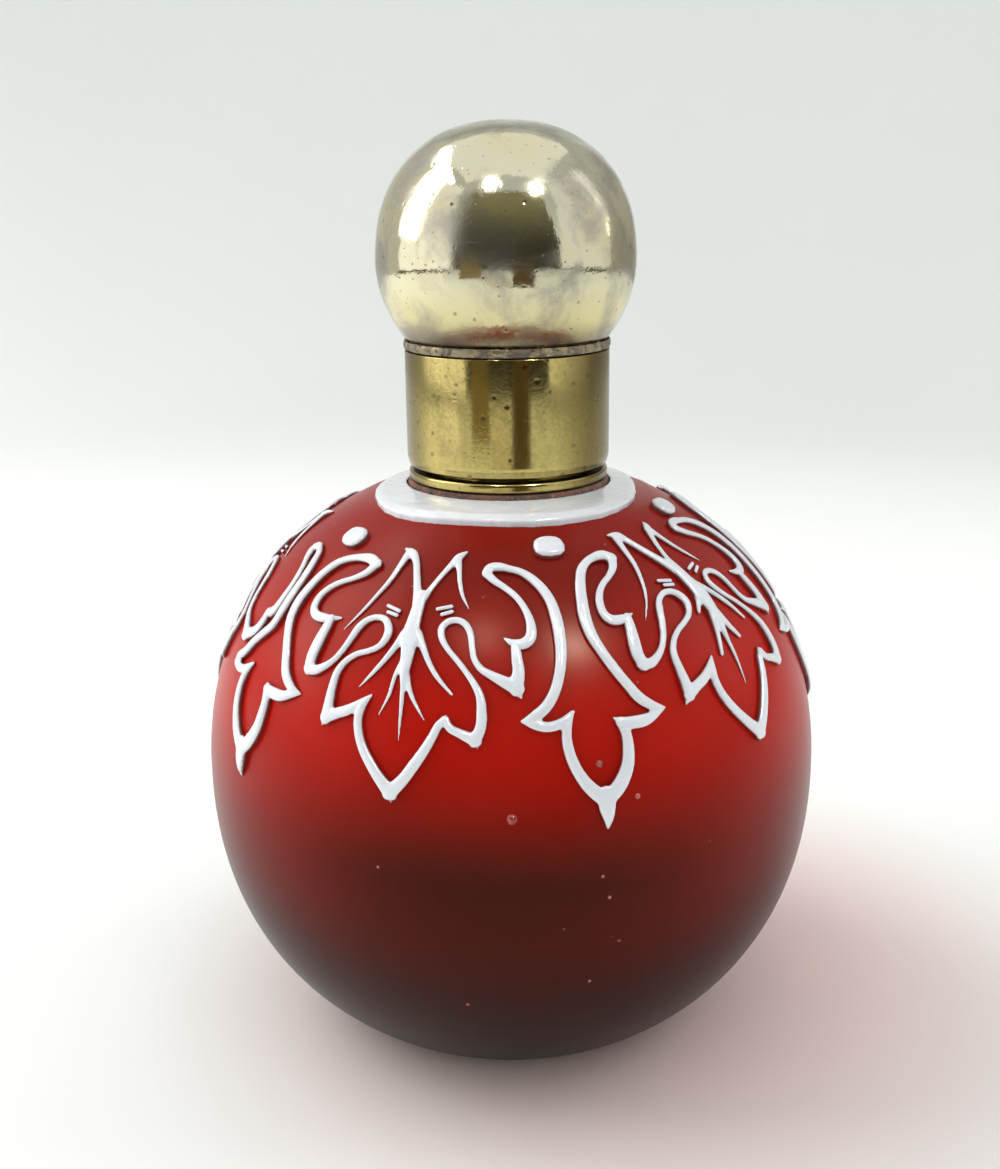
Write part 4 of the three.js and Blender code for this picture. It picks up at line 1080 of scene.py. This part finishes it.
def silver_material(name, scene):
    """Old silver plate: champagne tint, grey film in places, pits and fine wiping lines."""
    metal = scene.scent_metal
    material, tree, shader, mm = new_material(name)
    rise = axis_of(tree, mm, "Z")
    wash = scaled(tree, effect(tree, "Clouding", mm, Scale=0.07, Low=0.4, High=0.65), 0.5)
    warm = larger(tree, wash, between(tree, rise, 80.0, 73.0))
    film = effect(tree, "Clouding", mm, Scale=0.19, Low=0.42, High=0.66)
    foot = scaled(tree, between(tree, rise, 74.2, 71.6), 0.75)
    pits = effect(tree, "Pitting", mm, Scale=0.6, Size=0.17, Share=0.4)
    fine = effect(tree, "Pitting", mm, Scale=1.5, Size=0.26, Share=0.3)
    lines = effect(tree, "Scratching", stretched(tree, mm, (0.15, 0.15, 1.6)),
                   Fineness=1.1, Amount=0.35)
    tone = blended(tree, warm, metal.silver, metal.champagne)
    tone = blended(tree, scaled(tree, film, 0.6), tone, metal.tarnish)
    tone = blended(tree, foot, tone, PLATE_FOOT)
    tone = blended(tree, scaled(tree, pits, 0.85), tone, PLATE_PIT)
    tone = blended(tree, scaled(tree, fine, 0.6), tone, PLATE_SPECK)
    rough = summed(tree, ranged(tree, film, 0.08, 0.24), scaled(tree, lines, 0.1))
    wave = effect(tree, "Clouding", mm, Scale=0.22, Low=0.2, High=0.8)
    height = summed(tree, scaled(tree, wave, 1.2), scaled(tree, pits, -1.2))
    height = summed(tree, height, scaled(tree, fine, -0.6))
    height = summed(tree, height, scaled(tree, lines, -0.1))
    feed(tree, shader, {
        "Base Color": tone,
        "Metallic": 1.0,
        "Roughness": summed(tree, rough, scaled(tree, foot, 0.2)),
        "Normal": bumped(tree, height, 0.025),
    })
    return material


def brass_material(name, scene):
    """Pitted brass with an olive film; the same olive is painted as shade on the sleeve's left and
    right sides, and the brass is a little darker low down.
    """
    metal = scene.scent_metal
    material, tree, shader, mm = new_material(name)
    across = axis_of(tree, mm, "X")
    film = scaled(tree, effect(tree, "Clouding", mm, Scale=0.22, Low=0.4, High=0.75), 0.38)
    streaks = effect(tree, "Clouding", stretched(tree, mm, (1, 1, 0.08)),
                     Scale=0.3, Low=0.38, High=0.75)
    # Painted shade: the olive is laid on the left and right sides, as seen from the front, for their
    # dark reflections; low down it is a little darker
    for mask in (
        scaled(tree, streaks, 0.36),
        scaled(tree, between(tree, across, 3.0, 8.5), 0.85),
        scaled(tree, between(tree, across, -6.5, -9.5), 0.8),
        scaled(tree, between(tree, axis_of(tree, mm, "Z"), 66.0, 59.5), 0.15),
    ):
        film = larger(tree, film, mask)
    grain = effect(tree, "Clouding", mm, Scale=2.6, Low=0.42, High=0.62)
    pits = effect(tree, "Pitting", mm, Scale=0.8, Size=0.3, Share=0.4)
    fine = effect(tree, "Pitting", mm, Scale=2.2, Size=0.27, Share=0.2)
    tone = blended(tree, film, metal.brass, metal.brass_film_and_side_shade)
    tone = blended(tree, scaled(tree, grain, 0.16), tone, BRASS_GRAIN)
    tone = blended(tree, scaled(tree, larger(tree, pits, fine), 0.75), tone, BRASS_PIT)
    height = summed(tree, scaled(tree, grain, 0.12), scaled(tree, pits, -1.2))
    height = summed(tree, height, scaled(tree, fine, -0.6))
    feed(tree, shader, {
        "Base Color": tone,
        "Metallic": 1.0,
        "Roughness": summed(tree, ranged(tree, film, 0.1, 0.24), scaled(tree, grain, 0.04)),
        "Normal": bumped(tree, height, 0.01),
    })
    return material


def solder_material(name, scene):
    """Dull lumpy solder."""
    material, tree, shader, mm = new_material(name)
    film = effect(tree, "Clouding", mm, Scale=0.7, Low=0.4, High=0.6)
    pits = effect(tree, "Pitting", mm, Scale=1.3, Size=0.4, Share=0.6)
    tone = blended(tree, film, scene.scent_metal.solder, SOLDER_FILM)
    feed(tree, shader, {
        "Base Color": blended(tree, scaled(tree, pits, 0.6), tone, SOLDER_PIT),
        "Metallic": 0.85,
        "Roughness": ranged(tree, film, 0.35, 0.6),
        "Normal": bumped(tree, summed(tree, film, scaled(tree, pits, -1.0)), 0.2),
    })
    return material


def cement_material(name, scene):
    """Grainy cement with bright grains."""
    material, tree, shader, mm = new_material(name)
    patch = effect(tree, "Clouding", mm, Scale=0.6, Low=0.35, High=0.65)
    grain = effect(tree, "Pitting", mm, Scale=3.0, Size=0.4, Share=0.5)
    tone = blended(tree, patch, scene.scent_metal.cement, CEMENT_PATCH)
    feed(tree, shader, {
        "Base Color": blended(tree, scaled(tree, grain, 0.7), tone, CEMENT_GRAIN),
        "Roughness": ranged(tree, grain, 0.7, 0.3),
        "Normal": bumped(tree, summed(tree, patch, grain), 0.15),
    })
    return material


def clear_glass_material(name, _scene):
    """Ground clear glass of the stopper."""
    material, tree, shader, mm = new_material(name)
    cloud = effect(tree, "Clouding", mm, Scale=0.8, Low=0.3, High=0.7)
    feed(tree, shader, {
        "Base Color": blended(tree, cloud, STOPPER_CLEAR, STOPPER_CLOUD),
        "Roughness": ranged(tree, cloud, 0.1, 0.3),
        "IOR": 1.5,
        "Transmission Weight": 0.85,
        "Normal": bumped(tree, cloud, 0.05),
    })
    return material


def cork_material(name, scene):
    """Cork with dark pores."""
    material, tree, shader, mm = new_material(name)
    patch = effect(tree, "Clouding", mm, Scale=0.9, Low=0.35, High=0.65)
    pores = effect(tree, "Pitting", mm, Scale=1.2, Size=0.3, Share=0.5)
    tone = blended(tree, scaled(tree, patch, 0.6), scene.scent_metal.cork, CORK_PATCH)
    feed(tree, shader, {
        "Base Color": blended(tree, scaled(tree, pores, 0.8), tone, CORK_PORE),
        "Roughness": 0.85,
        "Normal": bumped(tree, summed(tree, patch, scaled(tree, pores, -1.0)), 0.2),
    })
    return material


MATERIAL_MAKERS = {
    "satin_ruby": ruby_glass_material,
    "blister_glass": blister_material,
    "opal_white": white_glass_material,
    "aged_silver": silver_material,
    "aged_brass": brass_material,
    "dull_solder": solder_material,
    "grainy_cement": cement_material,
    "ground_glass": clear_glass_material,
    "pored_cork": cork_material,
}


def finish_piece(piece, finish, body, slot, *nodes):
    """Give a piece its material and body, and hide the CAD nodes that it stands for; the slot is not
    used.
    """
    material = (bpy.data.materials.get(finish)
                or MATERIAL_MAKERS[finish](finish, bpy.context.scene))
    piece.data.materials.clear()
    piece.data.materials.append(material)
    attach(piece, body)
    if nodes:
        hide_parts(*nodes)


def ground_material(stage):
    """Pale ground that keeps the shadow, with a painted rosy shadow near the bottle and painted
    shade that greys it far away and high up.
    """
    material, tree, shader, mm = new_material("pale_ground")
    cloud = effect(tree, "Clouding", mm, Scale=0.01, Low=0.2, High=0.8)
    away = vector_node(tree, "DISTANCE", mm, SHADOW_MIDDLE).outputs["Value"]
    # Painted shade: the ground greys far away and high up the backdrop
    far = scaled(tree, between(tree, away, *AWAY_REACH), 0.5)
    high = scaled(tree, between(tree, axis_of(tree, mm, "Z"), *HIGH_REACH), 0.8)
    tone = blended(tree, scaled(tree, cloud, 0.15), stage.floor, GROUND_CLOUD)
    # Painted rosy shadow around the bottle, for its shade and the red light through the glass
    tone = blended(tree, between(tree, away, *SHADOW_REACH), tone, GROUND_PAINTED_ROSY_SHADOW)
    feed(tree, shader, {
        "Base Color": blended(tree, larger(tree, far, high), tone, GROUND_FAR_SHADE),
        "Roughness": 0.75,
    })
    return material


def glow_material(name):
    """The glow of a screen, which changes upwards between two colours."""
    top, foot = GLOWS[name]
    material, tree, shader, mm = new_material(name)
    share = between(tree, axis_of(tree, mm, "Z"), GLOW_FOOT, GLOW_TOP)
    feed(tree, shader, {
        "Emission Color": blended(tree, share, foot, top),
        "Emission Strength": 1.0,
        "Base Color": (0, 0, 0, 1),
        "Roughness": 1.0,
    })
    return material


class SCENT_OT_globe(Operator):
    """Turn the hollow glass globe with its neck and bore."""

    bl_idname = "scent.globe"
    bl_label = "Glass globe"

    def execute(self, context):
        glass = context.scene.scent_glass
        radius, _foot, neck_top = turned_size(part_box("glass_body"))
        wall, floor, edge = glass.wall / MM, glass.floor / MM, glass.base_round / MM
        base_angle = angle_at_height(GLOBE_CENTRE, FOOT_SEMI_AXIS, FOOT_POWER)
        shoulder_angle = angle_at_radius(SHOULDER_RADIUS, radius, CROWN_POWER)
        foot = under_centre(superellipse(
            radius, FOOT_SEMI_AXIS, FOOT_POWER, base_angle, 0, FOOT_STEPS), GLOBE_CENTRE)
        crown = over_centre(superellipse(
            radius, CROWN_SEMI_AXIS, CROWN_POWER, 0, shoulder_angle, CROWN_STEPS), GLOBE_CENTRE)
        base_radius = foot[0][0]
        base = eased([(base_radius - edge * 2, 0), (base_radius, 0, edge), foot[3]],
                     BASE_ROUND_STEPS)
        shoulder_top = crown[-1][1]
        neck_root = shoulder_top + NECK_ROOT_RISE
        neck = eased([
            (SHOULDER_RADIUS, shoulder_top), (NECK_RADIUS, neck_root, NECK_ROOT_ROUND),
            (NECK_RADIUS, neck_top, NECK_ROUND), (BORE_TOP_RADIUS, neck_top, NECK_ROUND),
            (BORE_FOOT_RADIUS, neck_root - BORE_DEPTH),
        ])[1:-1]
        hollow_radius = radius - wall
        bore_angle = angle_at_radius(BORE_FOOT_RADIUS, hollow_radius, CROWN_POWER)
        hollow = over_centre(superellipse(
            hollow_radius, CROWN_SEMI_AXIS - wall, CROWN_POWER, bore_angle, 0, HOLLOW_STEPS),
            GLOBE_CENTRE)
        hollow += under_centre(superellipse(
            hollow_radius, GLOBE_CENTRE - floor, FOOT_POWER, 0, 90, HOLLOW_STEPS)[1:],
            GLOBE_CENTRE)
        hollow[-1] = (0, hollow[-1][1])
        profile = [(0, 0)] + base + foot[4:] + crown[1:] + neck + hollow
        piece = turned_piece("globe", profile, glass.steps)
        finish_piece(piece, "satin_ruby", "bottle", "ruby_glass", "glass_body")
        return {"FINISHED"}


class SCENT_OT_overlay(Operator):
    """Draw the white leaves and buds, and soften the carved disc and dots."""

    bl_idname = "scent.overlay"
    bl_label = "White overlay"

    def execute(self, context):
        relief = context.scene.scent_relief
        for node in ["cameo_neck_disc"] + [f"cameo_dot_{i + 1}" for i in range(len(BUDS))]:
            piece = rounded_relief(node, node.replace("cameo_", "overlay_"), relief)
            finish_piece(piece, "opal_white", "bottle", "white_glass", node)
        for i, (bud, leaf) in enumerate(zip(BUDS, LEAVES)):
            on_leaf = places_of_leaf(i)
            for kind, strokes, placed in (
                ("bud", BUD_STROKES, bud_place(bud)),
                ("leaf", LEAF_STROKES, on_leaf),
                ("stem", STEM_STROKES + leaf[4], on_leaf),
            ):
                piece = drawn_relief(f"overlay_{kind}_{i + 1}", strokes, placed, relief)
                finish_piece(piece, "opal_white", "bottle", "white_glass", f"cameo_{kind}_{i + 1}")
        return {"FINISHED"}


class SCENT_OT_ticks(Operator):
    """Add the short strokes beside each leaf's stem."""

    bl_idname = "scent.ticks"
    bl_label = "Stem ticks"

    def execute(self, context):
        width = context.scene.scent_relief.tick_width
        ticks = []
        for i in range(len(LEAVES)):
            placed = places_of_leaf(i)
            for ends in STEM_TICKS:
                first, last = (globe_point(*placed(*end)) for end in ends)
                ticks.append(self.add_tick(first, last, width))
        piece = joined(ticks, "overlay_ticks")
        finish_piece(piece, "opal_white", "bottle", "white_glass")
        return {"FINISHED"}

    def add_tick(self, first, last, width):
        """A short rounded stroke on the globe between two points."""
        deselect()
        bpy.ops.mesh.primitive_uv_sphere_add(segments=12, ring_count=8, radius=width / 2)
        tick = bpy.context.object
        length_along = (last - first).length
        select_faces(tick, lambda middle, normal: middle.x > 0)
        bpy.ops.transform.translate(value=(length_along, 0, 0))
        bpy.ops.object.mode_set(mode="OBJECT")
        along = (last - first).normalized()
        out = ((first + last) / 2 - GLOBE_MIDDLE).normalized()
        side = out.cross(along).normalized()
        out = along.cross(side)
        turn = Matrix((along, side, out)).transposed().to_4x4()
        tick.matrix_world = Matrix.Translation(first + out * width * TICK_RISE) @ turn
        take(tick)
        bake_place()
        bpy.ops.object.shade_smooth()
        return tick


class SCENT_OT_seeds(Operator):
    """Add the small blisters in the globe's surface."""

    bl_idname = "scent.seeds"
    bl_label = "Glass blisters"

    def execute(self, context):
        seeds = []
        for azimuth, elevation, radius in SEEDS:
            spot = globe_point(azimuth, elevation)
            inward = (GLOBE_MIDDLE - spot).normalized() * radius * MM * SEED_DEPTH
            deselect()
            bpy.ops.mesh.primitive_uv_sphere_add(
                segments=16, ring_count=10, radius=radius * MM, location=spot + inward)
            seeds.append(context.object)
        piece = joined(seeds, "glass_seeds")
        bake_place()
        bpy.ops.object.shade_smooth()
        finish_piece(piece, "blister_glass", "bottle", "ruby_glass")
        return {"FINISHED"}


def thread_start():
    """Height of the thread's first turn over the base, in millimetres."""
    return turned_size(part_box("ferrule_flange"))[2] + THREAD_ABOVE_FLANGE


def with_thread(piece, root, crest, start):
    """Join a screw thread to a turned piece."""
    sunk = root - math.copysign(THREAD_SINK, crest - root)
    section = [
        (sunk, -THREAD_ROOT_WIDTH / 2), (root, -THREAD_ROOT_WIDTH / 2),
        (crest, -THREAD_CREST_WIDTH / 2), (crest, THREAD_CREST_WIDTH / 2),
        (root, THREAD_ROOT_WIDTH / 2), (sunk, THREAD_ROOT_WIDTH / 2),
    ]
    parts = [piece]
    for i in range(THREAD_STARTS):
        deselect()
        bpy.ops.mesh.primitive_circle_add(
            vertices=len(section), radius=MM, fill_type="NGON", rotation=(math.pi / 2, 0, 0))
        ridge = bpy.context.object
        bake_place()
        for vertex, (radius, height) in zip(ridge.data.vertices, section):
            vertex.co = Vector((radius, 0, start + height)) * MM
        apply_modifier(
            ridge, "SCREW", axis="Z", angle=WHOLE_TURN * THREAD_TURNS,
            screw_offset=THREAD_LEAD * THREAD_TURNS * MM, steps=THREAD_STEPS,
            render_steps=THREAD_STEPS, use_merge_vertices=False)
        edit_all(ridge)
        bpy.ops.mesh.remove_doubles(threshold=JOIN_DISTANCE)
        bpy.ops.mesh.select_all(action="SELECT")
        bpy.ops.mesh.normals_make_consistent(inside=False)
        bpy.ops.object.mode_set(mode="OBJECT")
        ridge.matrix_world = Matrix.Rotation(WHOLE_TURN * i / THREAD_STARTS, 4, "Z")
        bake_place()
        parts.append(ridge)
    threaded = joined(parts, piece.name)
    bpy.ops.object.shade_smooth_by_angle(angle=SMOOTH_ANGLE)
    return threaded


class SCENT_OT_mount(Operator):
    """Turn the cement, the flange and the threaded ferrule on the neck."""

    bl_idname = "scent.mount"
    bl_label = "Neck mount"

    def execute(self, context):
        steps = context.scene.scent_glass.steps
        radius, foot, top = turned_size(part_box("neck_cement"))
        bore = NECK_RADIUS + RING_PLAY
        cement = turned_ring("neck_cement_ring", [
            (bore, foot), (radius, foot, 0.1), (radius - 0.15, top, 0.2), (bore, top),
        ], steps)
        finish_piece(cement, "grainy_cement", "bottle", "cement", "neck_cement")
        radius, foot, top = turned_size(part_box("ferrule_flange"))
        bore = FERRULE_RADIUS + RING_PLAY
        flange = turned_ring("flange", [
            (bore, foot), (radius, foot, 0.2), (radius, top, 0.35), (bore, top),
        ], steps, FLANGE_ROUND_STEPS)
        finish_piece(flange, "aged_brass", "bottle", "brass", "ferrule_flange")
        _radius, foot, top = turned_size(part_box("ferrule_tube"))
        tube = turned_ring("threaded_ferrule", [
            (FERRULE_BORE, foot), (FERRULE_RADIUS, foot),
            (FERRULE_RADIUS, top, 0.15), (FERRULE_BORE, top, 0.15),
        ], steps)
        tube = with_thread(tube, FERRULE_RADIUS, FERRULE_CREST, thread_start())
        finish_piece(tube, "aged_brass", "bottle", "brass", "ferrule_tube")
        return {"FINISHED"}


class SCENT_OT_stopper(Operator):
    """Turn the ground glass stopper."""

    bl_idname = "scent.stopper"
    bl_label = "Stopper"

    def execute(self, context):
        head, foot, top = turned_size(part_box("stopper"))
        shelf = top - STOPPER_HEAD
        plug_top, plug_foot = BORE_TOP_RADIUS - STOPPER_PLAY, BORE_FOOT_RADIUS - STOPPER_PLAY
        piece = turned_piece("glass_stopper", eased([
            (0, foot), (plug_foot, foot, 0.4), (plug_top, shelf - STOPPER_NECK),
            (plug_top, shelf), (head, shelf, 0.4), (head, shelf + STOPPER_RIM, 0.3),
            (head * STOPPER_SLOPE_SHARE, shelf + STOPPER_SLOPE, 0.9),
            (head * STOPPER_CROWN_SHARE, top, 0.6), (0, top),
        ]), context.scene.scent_glass.steps)
        finish_piece(piece, "ground_glass", "stopper", "clear_glass", "stopper")
        return {"FINISHED"}


class SCENT_OT_cap(Operator):
    """Turn the cap: ball, sleeve, solder seam, thread ring and cork washer."""

    bl_idname = "scent.cap"
    bl_label = "Screw cap"

    def execute(self, context):
        steps = context.scene.scent_glass.steps
        self.add_ball(steps)
        radius, foot, top = turned_size(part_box("cap_sleeve"))
        sleeve = turned_ring("sleeve", [
            (SLEEVE_BORE, foot), (radius - SLEEVE_TAPER, foot, 0.12),
            (radius, foot + SLEEVE_TAPER_HEIGHT, 0.3), (radius, top, 0.08), (SLEEVE_BORE, top),
        ], steps)
        finish_piece(sleeve, "aged_brass", "cap", "brass", "cap_sleeve")
        radius, foot, top = turned_size(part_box("cap_solder_seam"))
        seam = turned_ring("solder_seam", [
            (SLEEVE_BORE, foot), (radius - SEAM_ROUND, foot, 0.08),
            (radius, foot + SEAM_SWELL_HEIGHT, 0.2), (radius - SEAM_ROUND, top, 0.08),
            (SLEEVE_BORE, top - SEAM_DIP),
        ], steps)
        finish_piece(seam, "dull_solder", "cap", "solder", "cap_solder_seam")
        radius, foot, top = turned_size(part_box("cap_thread_ring"))
        ring = turned_ring("thread_ring", [
            (RING_BORE, foot, 0.1), (radius, foot), (radius, top), (RING_BORE, top, 0.1),
        ], steps)
        gap = THREAD_LEAD / THREAD_STARTS / 2
        ring = with_thread(ring, RING_BORE, RING_CREST, thread_start() + gap)
        finish_piece(ring, "aged_brass", "cap", "brass", "cap_thread_ring")
        radius, foot, top = turned_size(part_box("cap_washer"))
        washer = turned_ring("cork_washer", [
            (WASHER_BORE, foot, 0.15), (radius, foot, 0.15),
            (radius, top, 0.15), (WASHER_BORE, top, 0.15),
        ], steps)
        finish_piece(washer, "pored_cork", "cap_washer", "cork", "cap_washer")
        return {"FINISHED"}

    def add_ball(self, steps):
        """The hollow ball, open below."""
        radius, edge, top = turned_size(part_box("cap_ball"))
        centre = top - BALL_CROWN_SEMI_AXIS
        foot_angle = angle_at_radius(BALL_OPENING_RADIUS, radius, BALL_FOOT_POWER)

        def shell(inset):
            over = superellipse(
                radius - inset, BALL_CROWN_SEMI_AXIS - inset, BALL_CROWN_POWER,
                90, 0, BALL_CROWN_STEPS)
            under = superellipse(
                radius - inset, BALL_FOOT_SEMI_AXIS - inset, BALL_FOOT_POWER,
                0, foot_angle, BALL_FOOT_STEPS)
            return over_centre(over, centre) + under_centre(under[1:], centre)

        outer, inner = shell(0), shell(BALL_WALL)
        inner[-1] = (inner[-1][0], edge)
        outer[0], inner[0] = (0, top), (0, top - BALL_WALL)
        ball = turned_piece("ball", outer + inner[::-1], steps)
        finish_piece(ball, "aged_silver", "cap", "silver_plate", "cap_ball")


class SCENT_OT_stage(Operator):
    """Set up the floor with its curved backdrop, the light and the camera."""

    bl_idname = "scent.stage"
    bl_label = "Stage"

    def execute(self, context):
        scene = context.scene
        stage = scene.scent_stage
        self.add_floor(stage)
        for screen in SCREENS:
            self.add_screen(*screen)
        for lamp in LAMPS:
            self.add_lamp(stage, *lamp)
        self.light_world(scene, stage)
        self.add_camera(scene, stage)
        scene.view_settings.view_transform = "Standard"
        return {"FINISHED"}

    def add_floor(self, stage):
        """A floor that curves up into a backdrop all round."""
        radius = stage.bowl_radius / MM
        bend = radius * BEND_SHARE
        profile = [(0, 0), (radius * FLOOR_SHARE, 0)]
        for i in range(BEND_STEPS + 1):
            angle = math.radians(90 * i / BEND_STEPS)
            profile.append((radius - bend + bend * math.sin(angle),
                            bend - bend * math.cos(angle)))
        profile.append((radius, radius * WALL_SHARE))
        bowl = turned_piece("backdrop", profile, BACKDROP_STEPS)
        edit_all(bowl)
        bpy.ops.mesh.flip_normals()
        bpy.ops.object.mode_set(mode="OBJECT")
        bowl.data.materials.append(ground_material(stage))

    def add_screen(self, name, glow, start, end, foot, top, distance):
        """A curved screen round the bottle that shows in polished surfaces alone."""
        deselect()
        bpy.ops.mesh.primitive_grid_add(x_subdivisions=24, y_subdivisions=2, size=1)
        screen = bpy.context.object
        name_piece(screen, name)
        middle, half = (start + end) / 2, (end - start) / 2
        for vertex in screen.data.vertices:
            high = vertex.co.y + 0.5
            narrowed = 1 - SCREEN_NARROWING * high
            turn = math.radians(middle + 2 * half * vertex.co.x * narrowed)
            vertex.co = Vector((distance * math.sin(turn), -distance * math.cos(turn),
                                foot + (top - foot) * high))
        screen.data.materials.append(bpy.data.materials.get(glow) or glow_material(glow))
        screen.visible_camera = False
        screen.visible_diffuse = False
        screen.visible_shadow = False
        screen.visible_transmission = False

    def add_lamp(self, stage, name, setting, share, width, azimuth, elevation, distance):
        """A square lamp that faces the bottle."""
        turn, rise = math.radians(azimuth), math.radians(elevation)
        way = Vector((math.cos(rise) * math.sin(turn), -math.cos(rise) * math.cos(turn),
                      math.sin(rise)))
        deselect()
        bpy.ops.object.light_add(type="AREA", location=way * distance + AIM)
        lamp = bpy.context.object
        lamp.name = name
        lamp.data.energy = getattr(stage, setting) * share
        lamp.data.size = width
        lamp.visible_diffuse = width > SPOT_WIDTH
        lamp.visible_glossy = name != "front_light"
        lamp.visible_transmission = False
        lamp.rotation_euler = (-way).to_track_quat("-Z", "Y").to_euler()

    def light_world(self, scene, stage):
        """A pale world, which the camera sees at an even brightness."""
        world = scene.world or bpy.data.worlds.new("studio")
        scene.world = world
        world.use_nodes = True
        tree = world.node_tree
        tree.nodes.clear()
        path = place(tree, "LightPath")
        light = place(tree, "Background", {
            "Color": WORLD_LIGHT, "Strength": stage.world_strength})
        seen = place(tree, "Background", {"Color": WORLD_SEEN, "Strength": 1.0})
        mix = place(tree, "MixShader", {
            0: path.outputs["Is Camera Ray"], 1: light.outputs[0], 2: seen.outputs[0]})
        place(tree, "OutputWorld", {"Surface": mix.outputs[0]})

    def add_camera(self, scene, stage):
        """The camera at the photograph's viewing angle."""
        deselect()
        bpy.ops.object.camera_add()
        camera = bpy.context.object
        camera.name = "camera"
        camera.data.lens = stage.lens
        camera.data.sensor_width = SENSOR_WIDTH
        camera.data.sensor_fit = "HORIZONTAL"
        camera.data.shift_x = CAMERA_SHIFT
        camera.data.clip_start = 0.01
        camera.matrix_world = (
            Matrix.Translation(CAMERA_PLACE)
            @ Matrix.Rotation(math.radians(CAMERA_PITCH), 4, "X")
            @ Matrix.Rotation(math.radians(CAMERA_ROLL), 4, "Z"))
        scene.camera = camera


class SCENT_PT_panel(Panel):
    """Steps and settings of the scent bottle."""

    bl_label = "Scent bottle"
    bl_idname = "SCENT_PT_panel"
    bl_space_type = "VIEW_3D"
    bl_region_type = "UI"
    bl_category = "Scent bottle"

    def draw(self, context):
        layout = self.layout
        for operator in OPERATORS:
            layout.operator(operator.bl_idname)
        for group in SETTINGS:
            box = layout.box()
            settings = getattr(context.scene, group)
            for name in settings.__annotations__:
                box.prop(settings, name)


OPERATORS = (
    SCENT_OT_globe,
    SCENT_OT_overlay,
    SCENT_OT_ticks,
    SCENT_OT_seeds,
    SCENT_OT_mount,
    SCENT_OT_stopper,
    SCENT_OT_cap,
    SCENT_OT_stage,
)
SETTINGS = {
    "scent_glass": ScentGlassSettings,
    "scent_relief": ScentReliefSettings,
    "scent_metal": ScentMetalSettings,
    "scent_stage": ScentStageSettings,
}


def register():
    """Register the settings, operators and panel."""
    for name, group in SETTINGS.items():
        bpy.utils.register_class(group)
        setattr(bpy.types.Scene, name, PointerProperty(type=group))
    for operator in OPERATORS:
        bpy.utils.register_class(operator)
    bpy.utils.register_class(SCENT_PT_panel)


def unregister():
    """Take the panel, operators and settings away again."""
    bpy.utils.unregister_class(SCENT_PT_panel)
    for operator in reversed(OPERATORS):
        bpy.utils.unregister_class(operator)
    for name, group in reversed(SETTINGS.items()):
        delattr(bpy.types.Scene, name)
        bpy.utils.unregister_class(group)


def main():
    register()
    bpy.ops.scent.globe()
    bpy.ops.scent.overlay()
    bpy.ops.scent.ticks()
    bpy.ops.scent.seeds()
    bpy.ops.scent.mount()
    bpy.ops.scent.stopper()
    bpy.ops.scent.cap()
    bpy.ops.scent.stage()


if __name__ == "__main__":
    main()
